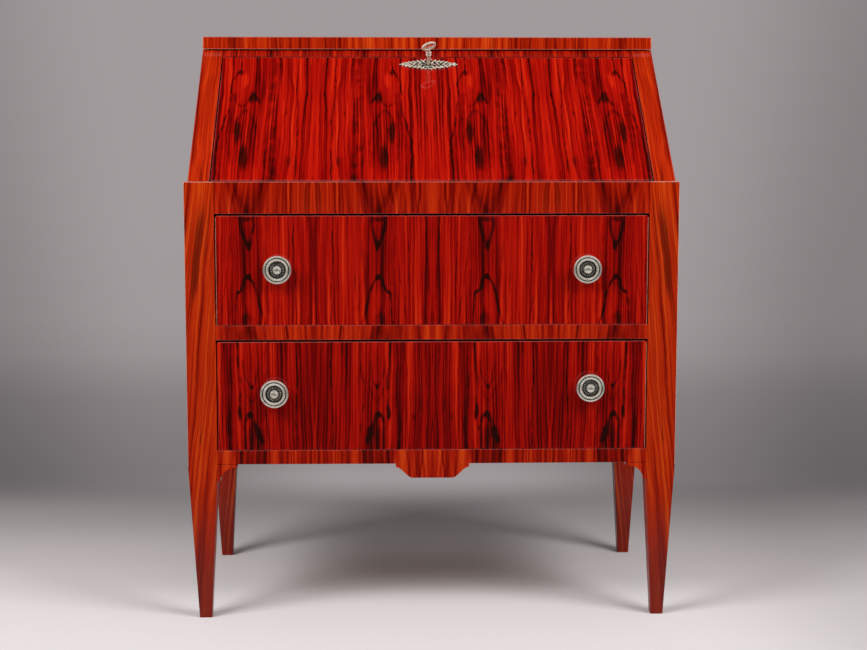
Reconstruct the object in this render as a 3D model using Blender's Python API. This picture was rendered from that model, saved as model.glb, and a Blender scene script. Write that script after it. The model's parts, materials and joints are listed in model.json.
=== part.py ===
"""Slant-front desk: two long drawers on tapered legs under a sloping fall.

Metres, +Z up. The front faces -Y. The origin lies on the floor under the middle of the desk.
The fall, its key and bolt, its two elbow stays and the four drawers move; each moving piece
hangs from an object or an empty whose origin lies on its own axis.
"""

import math

import bmesh
import bpy
from mathutils import Matrix, Vector

# Overall sizes
CASE_WIDTH = 0.830
CASE_DEPTH = 0.470
CASE_TOP = 0.750
UPPER_HEIGHT = 0.250
TOP_DEPTH = 0.1775
UPPER_INSET = 0.007

# Joinery
JOINT_GAP = 0.0003
CUT_OVERRUN = 0.002
ARRIS = 0.0008

# Legs
POST_SIDE = 0.050
FOOT_SIDE = 0.021
TAPER_DROP = 0.004

# Front of the lower case, from the top down
TOP_RAIL_HEIGHT = 0.0536
UPPER_OPENING = 0.1874
MID_RAIL_HEIGHT = 0.0252
LOWER_OPENING = 0.1884
BOTTOM_RAIL_HEIGHT = 0.0242
RAIL_DEPTH = 0.045
APRON_WIDTH = 0.125
APRON_DROP = 0.0250
APRON_STEP = 0.0060
APRON_THICKNESS = 0.018
APRON_FLAT_SHARE = 0.53
BRACKET_REACH = 0.034
BRACKET_DROP = 0.029
BRACKET_THICKNESS = 0.020
BRACKET_TIP = 0.004

# Sides and backs
SIDE_THICKNESS = 0.018
BACK_THICKNESS = 0.012

# Upper section
GABLE_THICKNESS = 0.036
TOP_BOARD_THICKNESS = 0.0225
TOP_BOARD_LIP = 0.007
HEAD_STRIP = 0.0225
HEAD_RAIL_DEPTH = 0.034
HEAD_LEDGE = 0.010
WRITING_BOARD_THICKNESS = 0.018
BOARD_HOUSING = 0.010

# Fall
FALL_THICKNESS = 0.018
FALL_SIDE_GAP = 0.002
FALL_TOP_GAP = 0.0015
HINGE_SINK = 0.001
FALL_LIFT = 0.0005
RAIL_LAND = 0.004
HEEL_THICKNESS = 0.008
SWING_CLEARANCE = 0.0005

# Fall hinges
HINGE_WIDTH = 0.060
HINGE_END = 0.110
HINGE_LEAF = 0.024
HINGE_LEAF_THICKNESS = 0.0015
KNUCKLE_RADIUS = 0.0028
HINGE_PIN_RADIUS = 0.0013
HINGE_PIN_CLEARANCE = 0.0002
LEAF_CLEARANCE = 0.0006

# Fall lock
KEYHOLE_TO_EDGE = 0.0228
LOCK_WIDTH = 0.056
LOCK_HEIGHT = 0.040
LOCK_THICKNESS = 0.012
SELVEDGE = 0.0020
BOLT_WIDTH = 0.020
BOLT_LENGTH = 0.016
BOLT_THICKNESS = 0.0036
BOLT_CLEARANCE = 0.0004
BOLT_SINK = 0.0020
BOLT_THROW = 0.0075
KEY_CAVITY_RADIUS = 0.0120
KEY_CAVITY_DEPTH = 0.0045
KEEPER_WIDTH = 0.044
KEEPER_THICKNESS = 0.0015

# Key
KEY_REACH = 0.050
KEY_TILT_DEG = 27.0
KEY_SHANK_RADIUS = 0.0030
KEY_CLEARANCE = 0.0004
KEY_COLLAR_RADIUS = 0.0047
KEY_COLLAR_AT = 0.026
KEY_COLLAR_LENGTH = 0.006
KEY_BOW_WIDTH = 0.031
KEY_BOW_HEIGHT = 0.018
KEY_BOW_BAR = 0.0021
KEY_BIT_REACH = 0.0100
KEY_BIT_THICKNESS = 0.0022
KEY_BIT_HEIGHT = 0.0036

# Keyhole plate
PLATE_LENGTH = 0.103
PLATE_HEIGHT = 0.026
PLATE_THICKNESS = 0.0012
PLATE_LOBES = 7
PLATE_LOBE_DEPTH_SHARE = 0.16
PLATE_POINT_SHARE = 1.5
PLATE_FULL_SHARE = 0.9

# Elbow stays
STAY_RADIUS = 0.138
STAY_UNDER_SLOPE_DEG = 9.875
STAY_PIVOT_HEIGHT = 0.011
STAY_ELBOW_DEG = 8.0
STAY_BAR_WIDTH = 0.012
STAY_EYE_RADIUS = 0.007
STAY_BAR_THICKNESS = 0.0025
STAY_RIVET_RADIUS = 0.0026
STAY_RIVET_CLEARANCE = 0.0003
STAY_PLATE_THICKNESS = 0.002
STAY_PLATE_LENGTH = 0.040
STAY_PLATE_WIDTH = 0.015
STAY_STANDOFF = 0.0030
STAY_ARM_GAP = 0.0006

# Drawers
FRONT_THICKNESS = 0.020
FRONT_SIDE_GAP = 0.002
FRONT_TOP_GAP = 0.0030
FRONT_CORNER = 0.0035
DRAWER_SIDE_THICKNESS = 0.012
DRAWER_SIDE_DROP = 0.006
DRAWER_BACK_GAP = 0.018
DRAWER_BACK_THICKNESS = 0.010
DRAWER_BOTTOM_THICKNESS = 0.006
DRAWER_BOTTOM_RAISE = 0.0085
GROOVE_DEPTH = 0.005
TAIL_COUNT = 4
TAIL_LENGTH = 0.014
TAIL_SLOPE_SHARE = 0.12
TAIL_WIDTH_SHARE = 0.58
RUNNER_WIDTH = 0.050
GUIDE_HEIGHT = 0.040
KICKER_THICKNESS = 0.016
STOP_HEIGHT = 0.006
STOP_WIDTH = 0.040
STOP_DEPTH = 0.018
STOP_INSET = 0.125

# Knobs, with the small unevenness of the old fittings
KNOB_RADIUS = 0.0238
KNOB_REACH = 0.025
KNOB_STUD_RADIUS = 0.003
KNOB_STUD_REACH = 0.015
KNOB_STUD_CLEARANCE = 0.0003
KNOB_INSET = 0.10325
KNOB_LOWER_INSET = 0.09625
KNOB_RISE = 0.0945
KNOB_LOWER_RISE = 0.1027
KNOB_LOWER_SKEW = 0.0040
# From the back plate to the crown: neck, rim, groove, beaded ring, dished middle and boss
KNOB_SHARES = ((0.50, 0.0), (0.50, 0.07), (0.34, 0.16), (0.34, 0.34), (0.80, 0.46), (1.0, 0.58),
               (1.0, 0.68), (0.93, 0.76), (0.85, 0.74), (0.80, 0.68), (0.75, 0.78), (0.66, 0.80),
               (0.60, 0.72), (0.50, 0.58), (0.33, 0.60), (0.30, 0.82), (0.22, 0.94), (0.10, 1.0), (0, 1.0))

# Gallery behind the fall
GALLERY_CLEARANCE = 0.019
GALLERY_HEAD_CLEARANCE = 0.004
GALLERY_TIER = 0.062
SHELF_THICKNESS = 0.006
DIVIDER_THICKNESS = 0.005
DIVIDER_SWEEP = 0.032
PIGEONHOLES = 5
CENTRE_BAY = 0.250
SMALL_GAP = 0.001
SMALL_FRONT_THICKNESS = 0.011
SMALL_WALL = 0.006
SMALL_BOTTOM = 0.004
SMALL_WALL_DROP = 0.006
SMALL_KNOB_RADIUS = 0.0065
SMALL_KNOB_REACH = 0.013
SMALL_KNOB_STUD_RADIUS = 0.0013
SMALL_KNOB_SHARES = ((0.6, 0.0), (0.4, 0.2), (0.4, 0.4), (1.0, 0.6), (0.9, 0.85), (0.5, 0.98), (0, 1.0))

# Facets of round work
ROUND_STEPS = 32
FINE_STEPS = 20
SWING_STEPS = 64
CURVE_STEPS = 8

# Places worked out from the sizes above
FRONT = (KNOB_REACH - CASE_DEPTH) / 2
BACK = FRONT + CASE_DEPTH
HALF = CASE_WIDTH / 2
UPPER_HALF = HALF - UPPER_INSET
BAY_HALF = UPPER_HALF - GABLE_THICKNESS
OPENING_HALF = HALF - POST_SIDE
TOTAL_HEIGHT = CASE_TOP + UPPER_HEIGHT
SLANT_RUN = CASE_DEPTH - TOP_DEPTH
UNDER_TOP = TOTAL_HEIGHT - TOP_BOARD_THICKNESS
SLANT_RISE = UNDER_TOP - CASE_TOP
SLANT_ANGLE = math.atan2(SLANT_RISE, SLANT_RUN)
SLANT_LENGTH = math.hypot(SLANT_RISE, SLANT_RUN)
COS, SIN = math.cos(SLANT_ANGLE), math.sin(SLANT_ANGLE)

UPPER_OPENING_TOP = CASE_TOP - TOP_RAIL_HEIGHT
UPPER_OPENING_FOOT = UPPER_OPENING_TOP - UPPER_OPENING
LOWER_OPENING_TOP = UPPER_OPENING_FOOT - MID_RAIL_HEIGHT
LOWER_OPENING_FOOT = LOWER_OPENING_TOP - LOWER_OPENING
CASE_FOOT = LOWER_OPENING_FOOT - BOTTOM_RAIL_HEIGHT
TAPER_TOP = CASE_FOOT - TAPER_DROP

# The hinge line lies in the inner face of the fall, level with the writing board
AXIS_TO_OUTER = FALL_THICKNESS - HINGE_SINK
HINGE_RISE = FALL_LIFT + AXIS_TO_OUTER
HINGE_ALONG = (HINGE_RISE + COS * AXIS_TO_OUTER) / SIN
HINGE_DEPTH = COS * HINGE_ALONG + SIN * AXIS_TO_OUTER
HINGE_Y = FRONT + HINGE_DEPTH
HINGE_Z = CASE_TOP + HINGE_RISE
WRITING_LEVEL = HINGE_Z + HINGE_SINK
HEEL_RADIUS = math.hypot(HINGE_DEPTH - RAIL_LAND, HINGE_RISE)
CHANNEL_RADIUS = HEEL_RADIUS + SWING_CLEARANCE
FALL_HALF = BAY_HALF - FALL_SIDE_GAP
FALL_REACH = SLANT_LENGTH - HEAD_STRIP - FALL_TOP_GAP - HINGE_ALONG
FALL_TRAVEL = math.pi - SLANT_ANGLE
KEY_ALONG = FALL_REACH - KEYHOLE_TO_EDGE

MATERIALS = {
    "veneer": ((0.42, 0.030, 0.008), 0.12, 0.0),
    "stile_veneer": ((0.50, 0.070, 0.012), 0.14, 0.0),
    "inner_wood": ((0.45, 0.20, 0.08), 0.45, 0.0),
    "pale_wood": ((0.60, 0.42, 0.24), 0.6, 0.0),
    "brass": ((0.62, 0.47, 0.24), 0.32, 1.0),
    "plate_metal": ((0.66, 0.62, 0.52), 0.34, 1.0),
    "steel": ((0.48, 0.47, 0.45), 0.38, 1.0),
}


def clear_scene():
    """Remove whatever the opened scene holds."""
    for old in list(bpy.data.objects):
        bpy.data.objects.remove(old, do_unlink=True)


def make_material(name, finish):
    """A plain shader with the colour, roughness and metallic value of one finish."""
    colour, roughness, metallic = MATERIALS[finish]
    material = bpy.data.materials.new(name)
    material.use_nodes = True
    shader = material.node_tree.nodes["Principled BSDF"]
    shader.inputs["Base Color"].default_value = (*colour, 1.0)
    shader.inputs["Roughness"].default_value = roughness
    shader.inputs["Metallic"].default_value = metallic
    material.diffuse_color = (*colour, 1.0)
    return material


def finish_object(name, bm, finish, parent=None, smooth_deg=None):
    """Turn a bmesh into a named object with its own material."""
    bmesh.ops.recalc_face_normals(bm, faces=bm.faces)
    mesh = bpy.data.meshes.new(name)
    bm.to_mesh(mesh)
    bm.free()
    if smooth_deg is not None:
        mesh.shade_smooth()
        mesh.set_sharp_from_angle(angle=math.radians(smooth_deg))
    item = bpy.data.objects.new(name, mesh)
    bpy.context.scene.collection.objects.link(item)
    item.parent = parent
    mesh.materials.append(make_material(name, finish))
    return item


def make_pivot(name, place, turn=0.0, parent=None):
    """An empty on a joint's axis, turned about X, which carries the pieces of one body."""
    pivot = bpy.data.objects.new(name, None)
    bpy.context.scene.collection.objects.link(pivot)
    pivot.empty_display_type = "ARROWS"
    pivot.empty_display_size = POST_SIDE
    pivot.location = place
    pivot.rotation_euler = (turn, 0.0, 0.0)
    pivot.parent = parent
    return pivot


def place_point(axis, run, pair):
    """Put an outline point at a distance along one of the axes."""
    first, second = pair
    if axis == "x":
        return Vector((run, first, second))
    if axis == "y":
        return Vector((first, run, second))
    return Vector((first, second, run))


def add_prism(bm, outline, axis, low, high):
    """Draw an outline as a face square to an axis and extrude it from low to high."""
    rim = [bm.verts.new(place_point(axis, low, pair)) for pair in outline]
    face = bm.faces.new(rim)
    result = bmesh.ops.extrude_face_region(bm, geom=[face])
    moved = [item for item in result["geom"] if isinstance(item, bmesh.types.BMVert)]
    shift = place_point(axis, high - low, (0, 0))
    bmesh.ops.translate(bm, verts=moved, vec=shift)
    return rim + moved


def add_block(bm, x_range, y_range, z_range):
    """A plain block between three pairs of limits."""
    size = [high - low for low, high in (x_range, y_range, z_range)]
    middle = [(high + low) / 2 for low, high in (x_range, y_range, z_range)]
    place = Matrix.Translation(middle) @ Matrix.Diagonal((*size, 1.0))
    return bmesh.ops.create_cube(bm, size=1.0, matrix=place)["verts"]


def make_block(name, x_range, y_range, z_range, finish, parent=None, arris=0.0):
    """A board or block as one object, with its arrises taken off where asked."""
    bm = bmesh.new()
    add_block(bm, x_range, y_range, z_range)
    if arris:
        bmesh.ops.bevel(bm, geom=bm.edges[:], offset=arris, offset_type="OFFSET", segments=1,
                        profile=0.5, affect="EDGES", material=-1)
    return finish_object(name, bm, finish, parent)


def make_prism(name, outline, axis, low, high, finish, parent=None):
    """An extruded outline as one object."""
    bm = bmesh.new()
    add_prism(bm, outline, axis, low, high)
    return finish_object(name, bm, finish, parent)


def add_round(bm, profile, axis, place, steps):
    """Turn a profile of (radius, run) pairs about an axis through a place."""
    ends = {"x": (Vector((1, 0, 0)), Vector((0, 0, 1))),
            "y": (Vector((0, 1, 0)), Vector((0, 0, 1))),
            "z": (Vector((0, 0, 1)), Vector((0, 1, 0)))}
    along, across = ends[axis]
    before = set(bm.verts)
    line = [bm.verts.new(Vector(place) + along * run + across * radius) for radius, run in profile]
    edges = [bm.edges.new(pair) for pair in zip(line, line[1:])]
    bmesh.ops.spin(bm, geom=line + edges, cent=place, axis=along, dvec=(0, 0, 0),
                   angle=math.tau, steps=steps, use_merge=True, use_duplicate=False)
    turned = [vert for vert in bm.verts if vert not in before]
    bmesh.ops.remove_doubles(bm, verts=turned, dist=JOINT_GAP / 10)
    return [vert for vert in bm.verts if vert not in before]


def add_cylinder(bm, axis, place, low, high, radius, steps):
    """A solid cylinder from low to high along an axis."""
    return add_round(bm, [(0, low), (radius, low), (radius, high), (0, high)], axis, place, steps)


def make_cutter(name, bm, parent=None):
    """A hidden solid that only cuts its neighbours."""
    bmesh.ops.recalc_face_normals(bm, faces=bm.faces)
    mesh = bpy.data.meshes.new(name)
    bm.to_mesh(mesh)
    bm.free()
    cutter = bpy.data.objects.new(name, mesh)
    bpy.context.scene.collection.objects.link(cutter)
    cutter.parent = parent
    cutter.hide_render = True
    cutter.display_type = "WIRE"
    return cutter


def cut(item, *cutters):
    """Take each cutter out of a piece."""
    for cutter in cutters:
        modifier = item.modifiers.new(cutter.name, "BOOLEAN")
        modifier.operation = "DIFFERENCE"
        modifier.solver = "EXACT"
        modifier.object = cutter


def slope_point(along, depth):
    """A point (y, z) at a distance up the slope and a depth under the sloping face."""
    return (FRONT + along * COS + depth * SIN, CASE_TOP + along * SIN - depth * COS)


def build_legs():
    """Four posts, straight beside the case and tapered on all four sides below it."""
    posts = {}
    shrink = FOOT_SIDE / POST_SIDE
    for side_name, side in (("left", -1), ("right", 1)):
        for end_name, facing in (("front", -1), ("back", 1)):
            outer_x, outer_y = side * HALF, FRONT if facing < 0 else BACK
            inner_x, inner_y = outer_x - side * POST_SIDE, outer_y - facing * POST_SIDE
            centre = Vector(((outer_x + inner_x) / 2, (outer_y + inner_y) / 2, 0))
            bm = bmesh.new()
            add_block(bm, sorted((inner_x, outer_x)), sorted((inner_y, outer_y)), (0, CASE_TOP))
            bmesh.ops.bisect_plane(bm, geom=bm.verts[:] + bm.edges[:] + bm.faces[:],
                                   plane_co=(0, 0, TAPER_TOP), plane_no=(0, 0, 1))
            feet = [vert for vert in bm.verts if vert.co.z < JOINT_GAP]
            bmesh.ops.scale(bm, verts=feet, vec=(shrink, shrink, 1), space=Matrix.Translation(-centre))
            corner = [edge for edge in bm.edges
                      if all(side * (vert.co.x - centre.x) > 0 and facing * (vert.co.y - centre.y) > 0
                             for vert in edge.verts)]
            bmesh.ops.bevel(bm, geom=corner, offset=ARRIS, offset_type="OFFSET", segments=2,
                            profile=0.5, affect="EDGES", material=-1)
            name = f"{end_name}_{side_name}_leg"
            posts[name] = finish_object(name, bm, "stile_veneer")
    return posts


def apron_outline():
    """The lower edge of the front apron: a stepped, curved drop in the middle."""
    half = APRON_WIDTH / 2
    flat = half * APRON_FLAT_SHARE
    root = CASE_FOOT + BOTTOM_RAIL_HEIGHT / 2
    points = [(-half, root), (-half, CASE_FOOT - APRON_STEP)]
    for step in range(1, CURVE_STEPS + 1):
        share = step / CURVE_STEPS
        drop = APRON_STEP + (APRON_DROP - APRON_STEP) * (1 - math.cos(share * math.pi)) / 2
        points.append((-half + (half - flat) * share, CASE_FOOT - drop))
    return points + [(-x, z) for x, z in reversed(points)]


def build_front_rails(posts, channel):
    """The three rails between the front posts; the fall's heel turns in the top one."""
    reach = OPENING_HALF - JOINT_GAP
    top_rail = make_block("top_rail", (-reach, reach), (FRONT, FRONT + RAIL_DEPTH),
                          (UPPER_OPENING_TOP, CASE_TOP), "veneer")
    cut(top_rail, channel)
    cut(posts["front_left_leg"], channel)
    cut(posts["front_right_leg"], channel)
    for name, foot, top in (("mid_rail", LOWER_OPENING_TOP, UPPER_OPENING_FOOT),
                            ("bottom_rail", CASE_FOOT, LOWER_OPENING_FOOT)):
        rail = make_block(name, (-reach, reach), (FRONT, FRONT + RAIL_DEPTH), (foot, top), "veneer")
        stops = bmesh.new()
        y_low = FRONT + FRONT_THICKNESS + JOINT_GAP
        for side in (-1, 1):
            middle = side * (OPENING_HALF - STOP_INSET)
            add_block(stops, (middle - STOP_WIDTH / 2, middle + STOP_WIDTH / 2),
                      (y_low, y_low + STOP_DEPTH), (top - STOP_HEIGHT, top + STOP_HEIGHT))
        join(rail, make_cutter(f"{name}_stops", stops))
    apron = bmesh.new()
    add_prism(apron, apron_outline(), "y", FRONT, FRONT + APRON_THICKNESS)
    join(rail, make_cutter("bottom_rail_apron", apron))


def build_corner_brackets():
    """Small curved brackets in the corners under the bottom rail, fitted to the tapered legs."""
    inner = OPENING_HALF - JOINT_GAP
    top = CASE_FOOT - JOINT_GAP
    foot = top - BRACKET_DROP
    taper_share = (POST_SIDE - FOOT_SIDE) / 2 / TAPER_TOP
    lower_inner = inner + (TAPER_TOP - foot) * taper_share
    curve_width, curve_height = BRACKET_REACH - BRACKET_TIP, BRACKET_DROP - BRACKET_TIP
    for name, side in (("left_corner_bracket", -1), ("right_corner_bracket", 1)):
        points = [(inner, TAPER_TOP), (inner, top), (inner - BRACKET_REACH, top)]
        for step in range(CURVE_STEPS + 1):
            turn = math.pi / 2 * step / CURVE_STEPS
            points.append((inner - BRACKET_REACH + curve_width * math.sin(turn),
                           foot + curve_height * math.cos(turn)))
        points.append((lower_inner, foot))
        outline = [(side * x, z) for x, z in points]
        make_prism(name, outline, "y", FRONT + JOINT_GAP, FRONT + BRACKET_THICKNESS, "veneer")


def build_case_shell():
    """Side panels with their glued kickers, and the back."""
    y_low, y_high = FRONT + POST_SIDE + JOINT_GAP, BACK - POST_SIDE - JOINT_GAP
    kicker_top = UPPER_OPENING_TOP + KICKER_THICKNESS
    kicker_inner = HALF - SIDE_THICKNESS - RUNNER_WIDTH
    for name, side in (("left_side_panel", -1), ("right_side_panel", 1)):
        outline = [(HALF, CASE_FOOT), (HALF, CASE_TOP), (HALF - SIDE_THICKNESS, CASE_TOP),
                   (HALF - SIDE_THICKNESS, kicker_top), (kicker_inner, kicker_top),
                   (kicker_inner, UPPER_OPENING_TOP), (HALF - SIDE_THICKNESS, UPPER_OPENING_TOP),
                   (HALF - SIDE_THICKNESS, CASE_FOOT)]
        make_prism(name, [(side * x, z) for x, z in outline], "y", y_low, y_high, "stile_veneer")
    lower, upper = OPENING_HALF - JOINT_GAP, BAY_HALF - JOINT_GAP
    waist, top = CASE_TOP + JOINT_GAP, UNDER_TOP - JOINT_GAP
    outline = [(-lower, CASE_FOOT), (lower, CASE_FOOT), (lower, waist), (upper, waist), (upper, top),
               (-upper, top), (-upper, waist), (-lower, waist)]
    make_prism("back_panel", outline, "y", BACK - BACK_THICKNESS, BACK, "inner_wood")


def build_runners():
    """A runner under each drawer side, level with the rails, with a guide strip beside it."""
    back_face = BACK - BACK_THICKNESS - JOINT_GAP
    outer = HALF - SIDE_THICKNESS - JOINT_GAP
    inner = outer - RUNNER_WIDTH
    post_face = OPENING_HALF - JOINT_GAP
    y_start = FRONT + RAIL_DEPTH + JOINT_GAP
    y_post_front = FRONT + POST_SIDE + JOINT_GAP
    y_post_back = BACK - POST_SIDE - JOINT_GAP
    for level, foot, top in (("upper", LOWER_OPENING_TOP, UPPER_OPENING_FOOT),
                             ("lower", CASE_FOOT, LOWER_OPENING_FOOT)):
        for side_name, side in (("left", -1), ("right", 1)):
            plan = [(inner, y_start), (post_face, y_start), (post_face, y_post_front),
                    (outer, y_post_front), (outer, y_post_back), (post_face, y_post_back),
                    (post_face, back_face), (inner, back_face)]
            name = f"{side_name}_{level}_runner"
            item = make_prism(name, [(side * x, y) for x, y in plan], "z", foot, top, "pale_wood")
            guide = bmesh.new()
            add_block(guide, sorted((side * OPENING_HALF, side * outer)), (y_post_front, y_post_back),
                      (foot, top + GUIDE_HEIGHT))
            join(item, make_cutter(f"{name}_guide", guide))


def build_upper_section():
    """Gables, top board and head rail."""
    foot = CASE_TOP + JOINT_GAP
    top = UNDER_TOP - JOINT_GAP
    top_along = (top - CASE_TOP) / SIN
    foot_along = (foot - CASE_TOP) / SIN
    outline = [slope_point(foot_along, 0), slope_point(top_along, 0), (BACK, top), (BACK, foot)]
    for name, side in (("left_gable", -1), ("right_gable", 1)):
        low, high = sorted((side * BAY_HALF, side * UPPER_HALF))
        gable = make_prism(name, outline, "x", low, high, "stile_veneer")
        bm = bmesh.new()
        limits = sorted((side * (BAY_HALF - CUT_OVERRUN), side * (BAY_HALF + BOARD_HOUSING)))
        add_block(bm, limits, (HINGE_Y, BACK - BACK_THICKNESS),
                  (foot - CUT_OVERRUN, WRITING_LEVEL + JOINT_GAP))
        cut(gable, make_cutter(f"{name}_housing", bm))
    make_block("top_board", (-UPPER_HALF, UPPER_HALF), (FRONT + SLANT_RUN - TOP_BOARD_LIP, BACK),
               (UNDER_TOP, TOTAL_HEIGHT), "stile_veneer", arris=ARRIS)
    build_head_rail(top)


def build_head_rail(top):
    """The rail above the fall: its front face continues the slope, a ledge stops the fall."""
    start = SLANT_LENGTH - HEAD_STRIP
    end = (top - CASE_TOP) / SIN
    seat = FALL_THICKNESS + JOINT_GAP
    outline = [slope_point(start, 0), slope_point(end, 0),
               (FRONT + SLANT_RUN + HEAD_RAIL_DEPTH, top),
               slope_point(start, HEAD_RAIL_DEPTH),
               slope_point(start - HEAD_LEDGE, seat + HEAD_LEDGE),
               slope_point(start - HEAD_LEDGE, seat), slope_point(start, seat)]
    reach = BAY_HALF - JOINT_GAP
    rail = make_prism("head_rail", outline, "x", -reach, reach, "veneer")
    frame = make_pivot("slope_frame", (0, FRONT, CASE_TOP), SLANT_ANGLE)
    bolt_low, bolt_high = bolt_layer()
    shift = -AXIS_TO_OUTER
    pocket = bmesh.new()
    half = BOLT_WIDTH / 2 + BOLT_CLEARANCE
    add_block(pocket, (-half, half), (start - CUT_OVERRUN, start + BOLT_THROW + KEEPER_THICKNESS),
              (shift + bolt_low - BOLT_CLEARANCE, shift + bolt_high + BOLT_CLEARANCE))
    keeper_half = KEEPER_WIDTH / 2
    seat_low, seat_high = -FALL_THICKNESS, -FALL_THICKNESS + LOCK_THICKNESS
    recess = bmesh.new()
    add_block(recess, (-keeper_half - JOINT_GAP, keeper_half + JOINT_GAP),
              (start - CUT_OVERRUN, start + KEEPER_THICKNESS + JOINT_GAP),
              (seat_low - JOINT_GAP, seat_high + JOINT_GAP))
    pocket_cutter = make_cutter("keeper_pocket", pocket, frame)
    cut(rail, pocket_cutter, make_cutter("keeper_recess", recess, frame))
    bm = bmesh.new()
    add_block(bm, (-keeper_half, keeper_half), (start, start + KEEPER_THICKNESS), (seat_low, seat_high))
    keeper = finish_object("lock_keeper", bm, "brass", frame)
    cut(keeper, pocket_cutter)


def build_writing_board():
    """The fixed board behind the hinges; its front edge is rebated over the fall's heel."""
    tongue_low = HINGE_Z - AXIS_TO_OUTER + HEEL_THICKNESS + SWING_CLEARANCE
    heel_reach = math.sqrt(HEEL_RADIUS ** 2 - (AXIS_TO_OUTER - HEEL_THICKNESS) ** 2)
    rebate_end = HINGE_Y + heel_reach + FALL_SIDE_GAP
    low = WRITING_LEVEL - WRITING_BOARD_THICKNESS
    back = BACK - BACK_THICKNESS - JOINT_GAP
    front = HINGE_Y + SWING_CLEARANCE
    # The top arris is chamfered to the slope of the closed fall.
    offset = HINGE_SINK + SWING_CLEARANCE
    chamfer_low = HINGE_Z + (SWING_CLEARANCE * SIN - offset) / COS
    chamfer_back = HINGE_Y + (HINGE_SINK * COS + offset) / SIN
    outline = [(back, low), (back, WRITING_LEVEL), (chamfer_back, WRITING_LEVEL),
               (front, chamfer_low), (front, tongue_low), (rebate_end, tongue_low), (rebate_end, low)]
    reach = BAY_HALF + BOARD_HOUSING - JOINT_GAP
    board = make_prism("writing_board", outline, "x", -reach, reach, "inner_wood")
    bm = bmesh.new()
    for _, middle in hinge_places():
        half = HINGE_WIDTH / 2 + LEAF_CLEARANCE
        add_cylinder(bm, "x", (0, HINGE_Y, HINGE_Z), middle - half, middle + half,
                     KNUCKLE_RADIUS + SWING_CLEARANCE, FINE_STEPS)
    knuckles = make_cutter("board_knuckle_notches", bm)
    bm = bmesh.new()
    for _, middle in hinge_places():
        half = HINGE_WIDTH / 2 + LEAF_CLEARANCE
        add_block(bm, (middle - half, middle + half), (HINGE_Y, HINGE_Y + HINGE_LEAF + LEAF_CLEARANCE),
                  (WRITING_LEVEL - HINGE_LEAF_THICKNESS - JOINT_GAP, WRITING_LEVEL + CUT_OVERRUN))
    cut(board, knuckles, make_cutter("board_leaf_seats", bm))


def hinge_places():
    """The name and middle of each butt hinge along the hinge line."""
    return [("left", HINGE_END - FALL_HALF), ("right", FALL_HALF - HINGE_END)]


def build_hinge_leaf(name, frame, middle, spans, level, pinned):
    """One leaf lying along +Y from the pin, let in with its face at a level, and its knuckles."""
    half = HINGE_WIDTH / 2
    low, high = sorted((level, level - math.copysign(HINGE_LEAF_THICKNESS, level)))
    root = KNUCKLE_RADIUS + SWING_CLEARANCE * 2
    leaf = make_block(name, (middle - half, middle + half), (root, HINGE_LEAF), (low, high), "brass", frame)
    tabs = bmesh.new()
    barrels = bmesh.new()
    for start, end in spans:
        add_block(tabs, (middle + start, middle + end),
                  (HINGE_PIN_RADIUS + LEAF_CLEARANCE, root + SWING_CLEARANCE), (low, high))
        add_cylinder(barrels, "x", (0, 0, 0), middle + start, middle + end, KNUCKLE_RADIUS, FINE_STEPS)
    join(leaf, make_cutter(f"{name}_tabs", tabs, frame))
    join(leaf, make_cutter(f"{name}_barrels", barrels, frame))
    pin = bmesh.new()
    if pinned:
        reach = half - JOINT_GAP
        add_cylinder(pin, "x", (0, 0, 0), middle - reach, middle + reach, HINGE_PIN_RADIUS, FINE_STEPS)
        join(leaf, make_cutter(f"{name}_pin", pin, frame))
    else:
        reach = half + CUT_OVERRUN
        add_cylinder(pin, "x", (0, 0, 0), middle - reach, middle + reach,
                     HINGE_PIN_RADIUS + HINGE_PIN_CLEARANCE, FINE_STEPS)
        cut(leaf, make_cutter(f"{name}_bore", pin, frame))


def build_hinges(fall_frame):
    """Butt hinges: the fall's leaf has the two outer knuckles, the board's leaf keeps the pin."""
    inner, outer = HINGE_WIDTH / 6, HINGE_WIDTH / 2
    fall_spans = ((-outer, -inner - LEAF_CLEARANCE), (inner + LEAF_CLEARANCE, outer))
    board_frame = make_pivot("hinge_line", (0, HINGE_Y, HINGE_Z))
    for side_name, middle in hinge_places():
        build_hinge_leaf(f"{side_name}_hinge_fall_leaf", fall_frame, middle, fall_spans,
                         -HINGE_SINK, False)
        build_hinge_leaf(f"{side_name}_hinge_board_leaf", board_frame, middle, ((-inner, inner),),
                         HINGE_SINK, True)


def join(item, added):
    """Unite a hidden solid with a piece, so that both are one body."""
    modifier = item.modifiers.new(added.name, "BOOLEAN")
    modifier.operation = "UNION"
    modifier.solver = "EXACT"
    modifier.use_self = True
    modifier.object = added


def fall_outline():
    """The fall's section in its own frame: (along, up), with the outer face up."""
    outer, inner = AXIS_TO_OUTER, -HINGE_SINK
    heel_inner = outer - HEEL_THICKNESS
    first = math.atan2(outer, -math.sqrt(HEEL_RADIUS ** 2 - outer ** 2))
    last = math.atan2(heel_inner, -math.sqrt(HEEL_RADIUS ** 2 - heel_inner ** 2))
    tip = []
    for step in range(CURVE_STEPS // 2 + 1):
        turn = first + (last - first) * step * 2 / CURVE_STEPS
        tip.append((HEEL_RADIUS * math.cos(turn), HEEL_RADIUS * math.sin(turn)))
    return [(FALL_REACH, inner), (FALL_REACH, outer)] + tip + [(0, heel_inner), (0, inner)]


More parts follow.
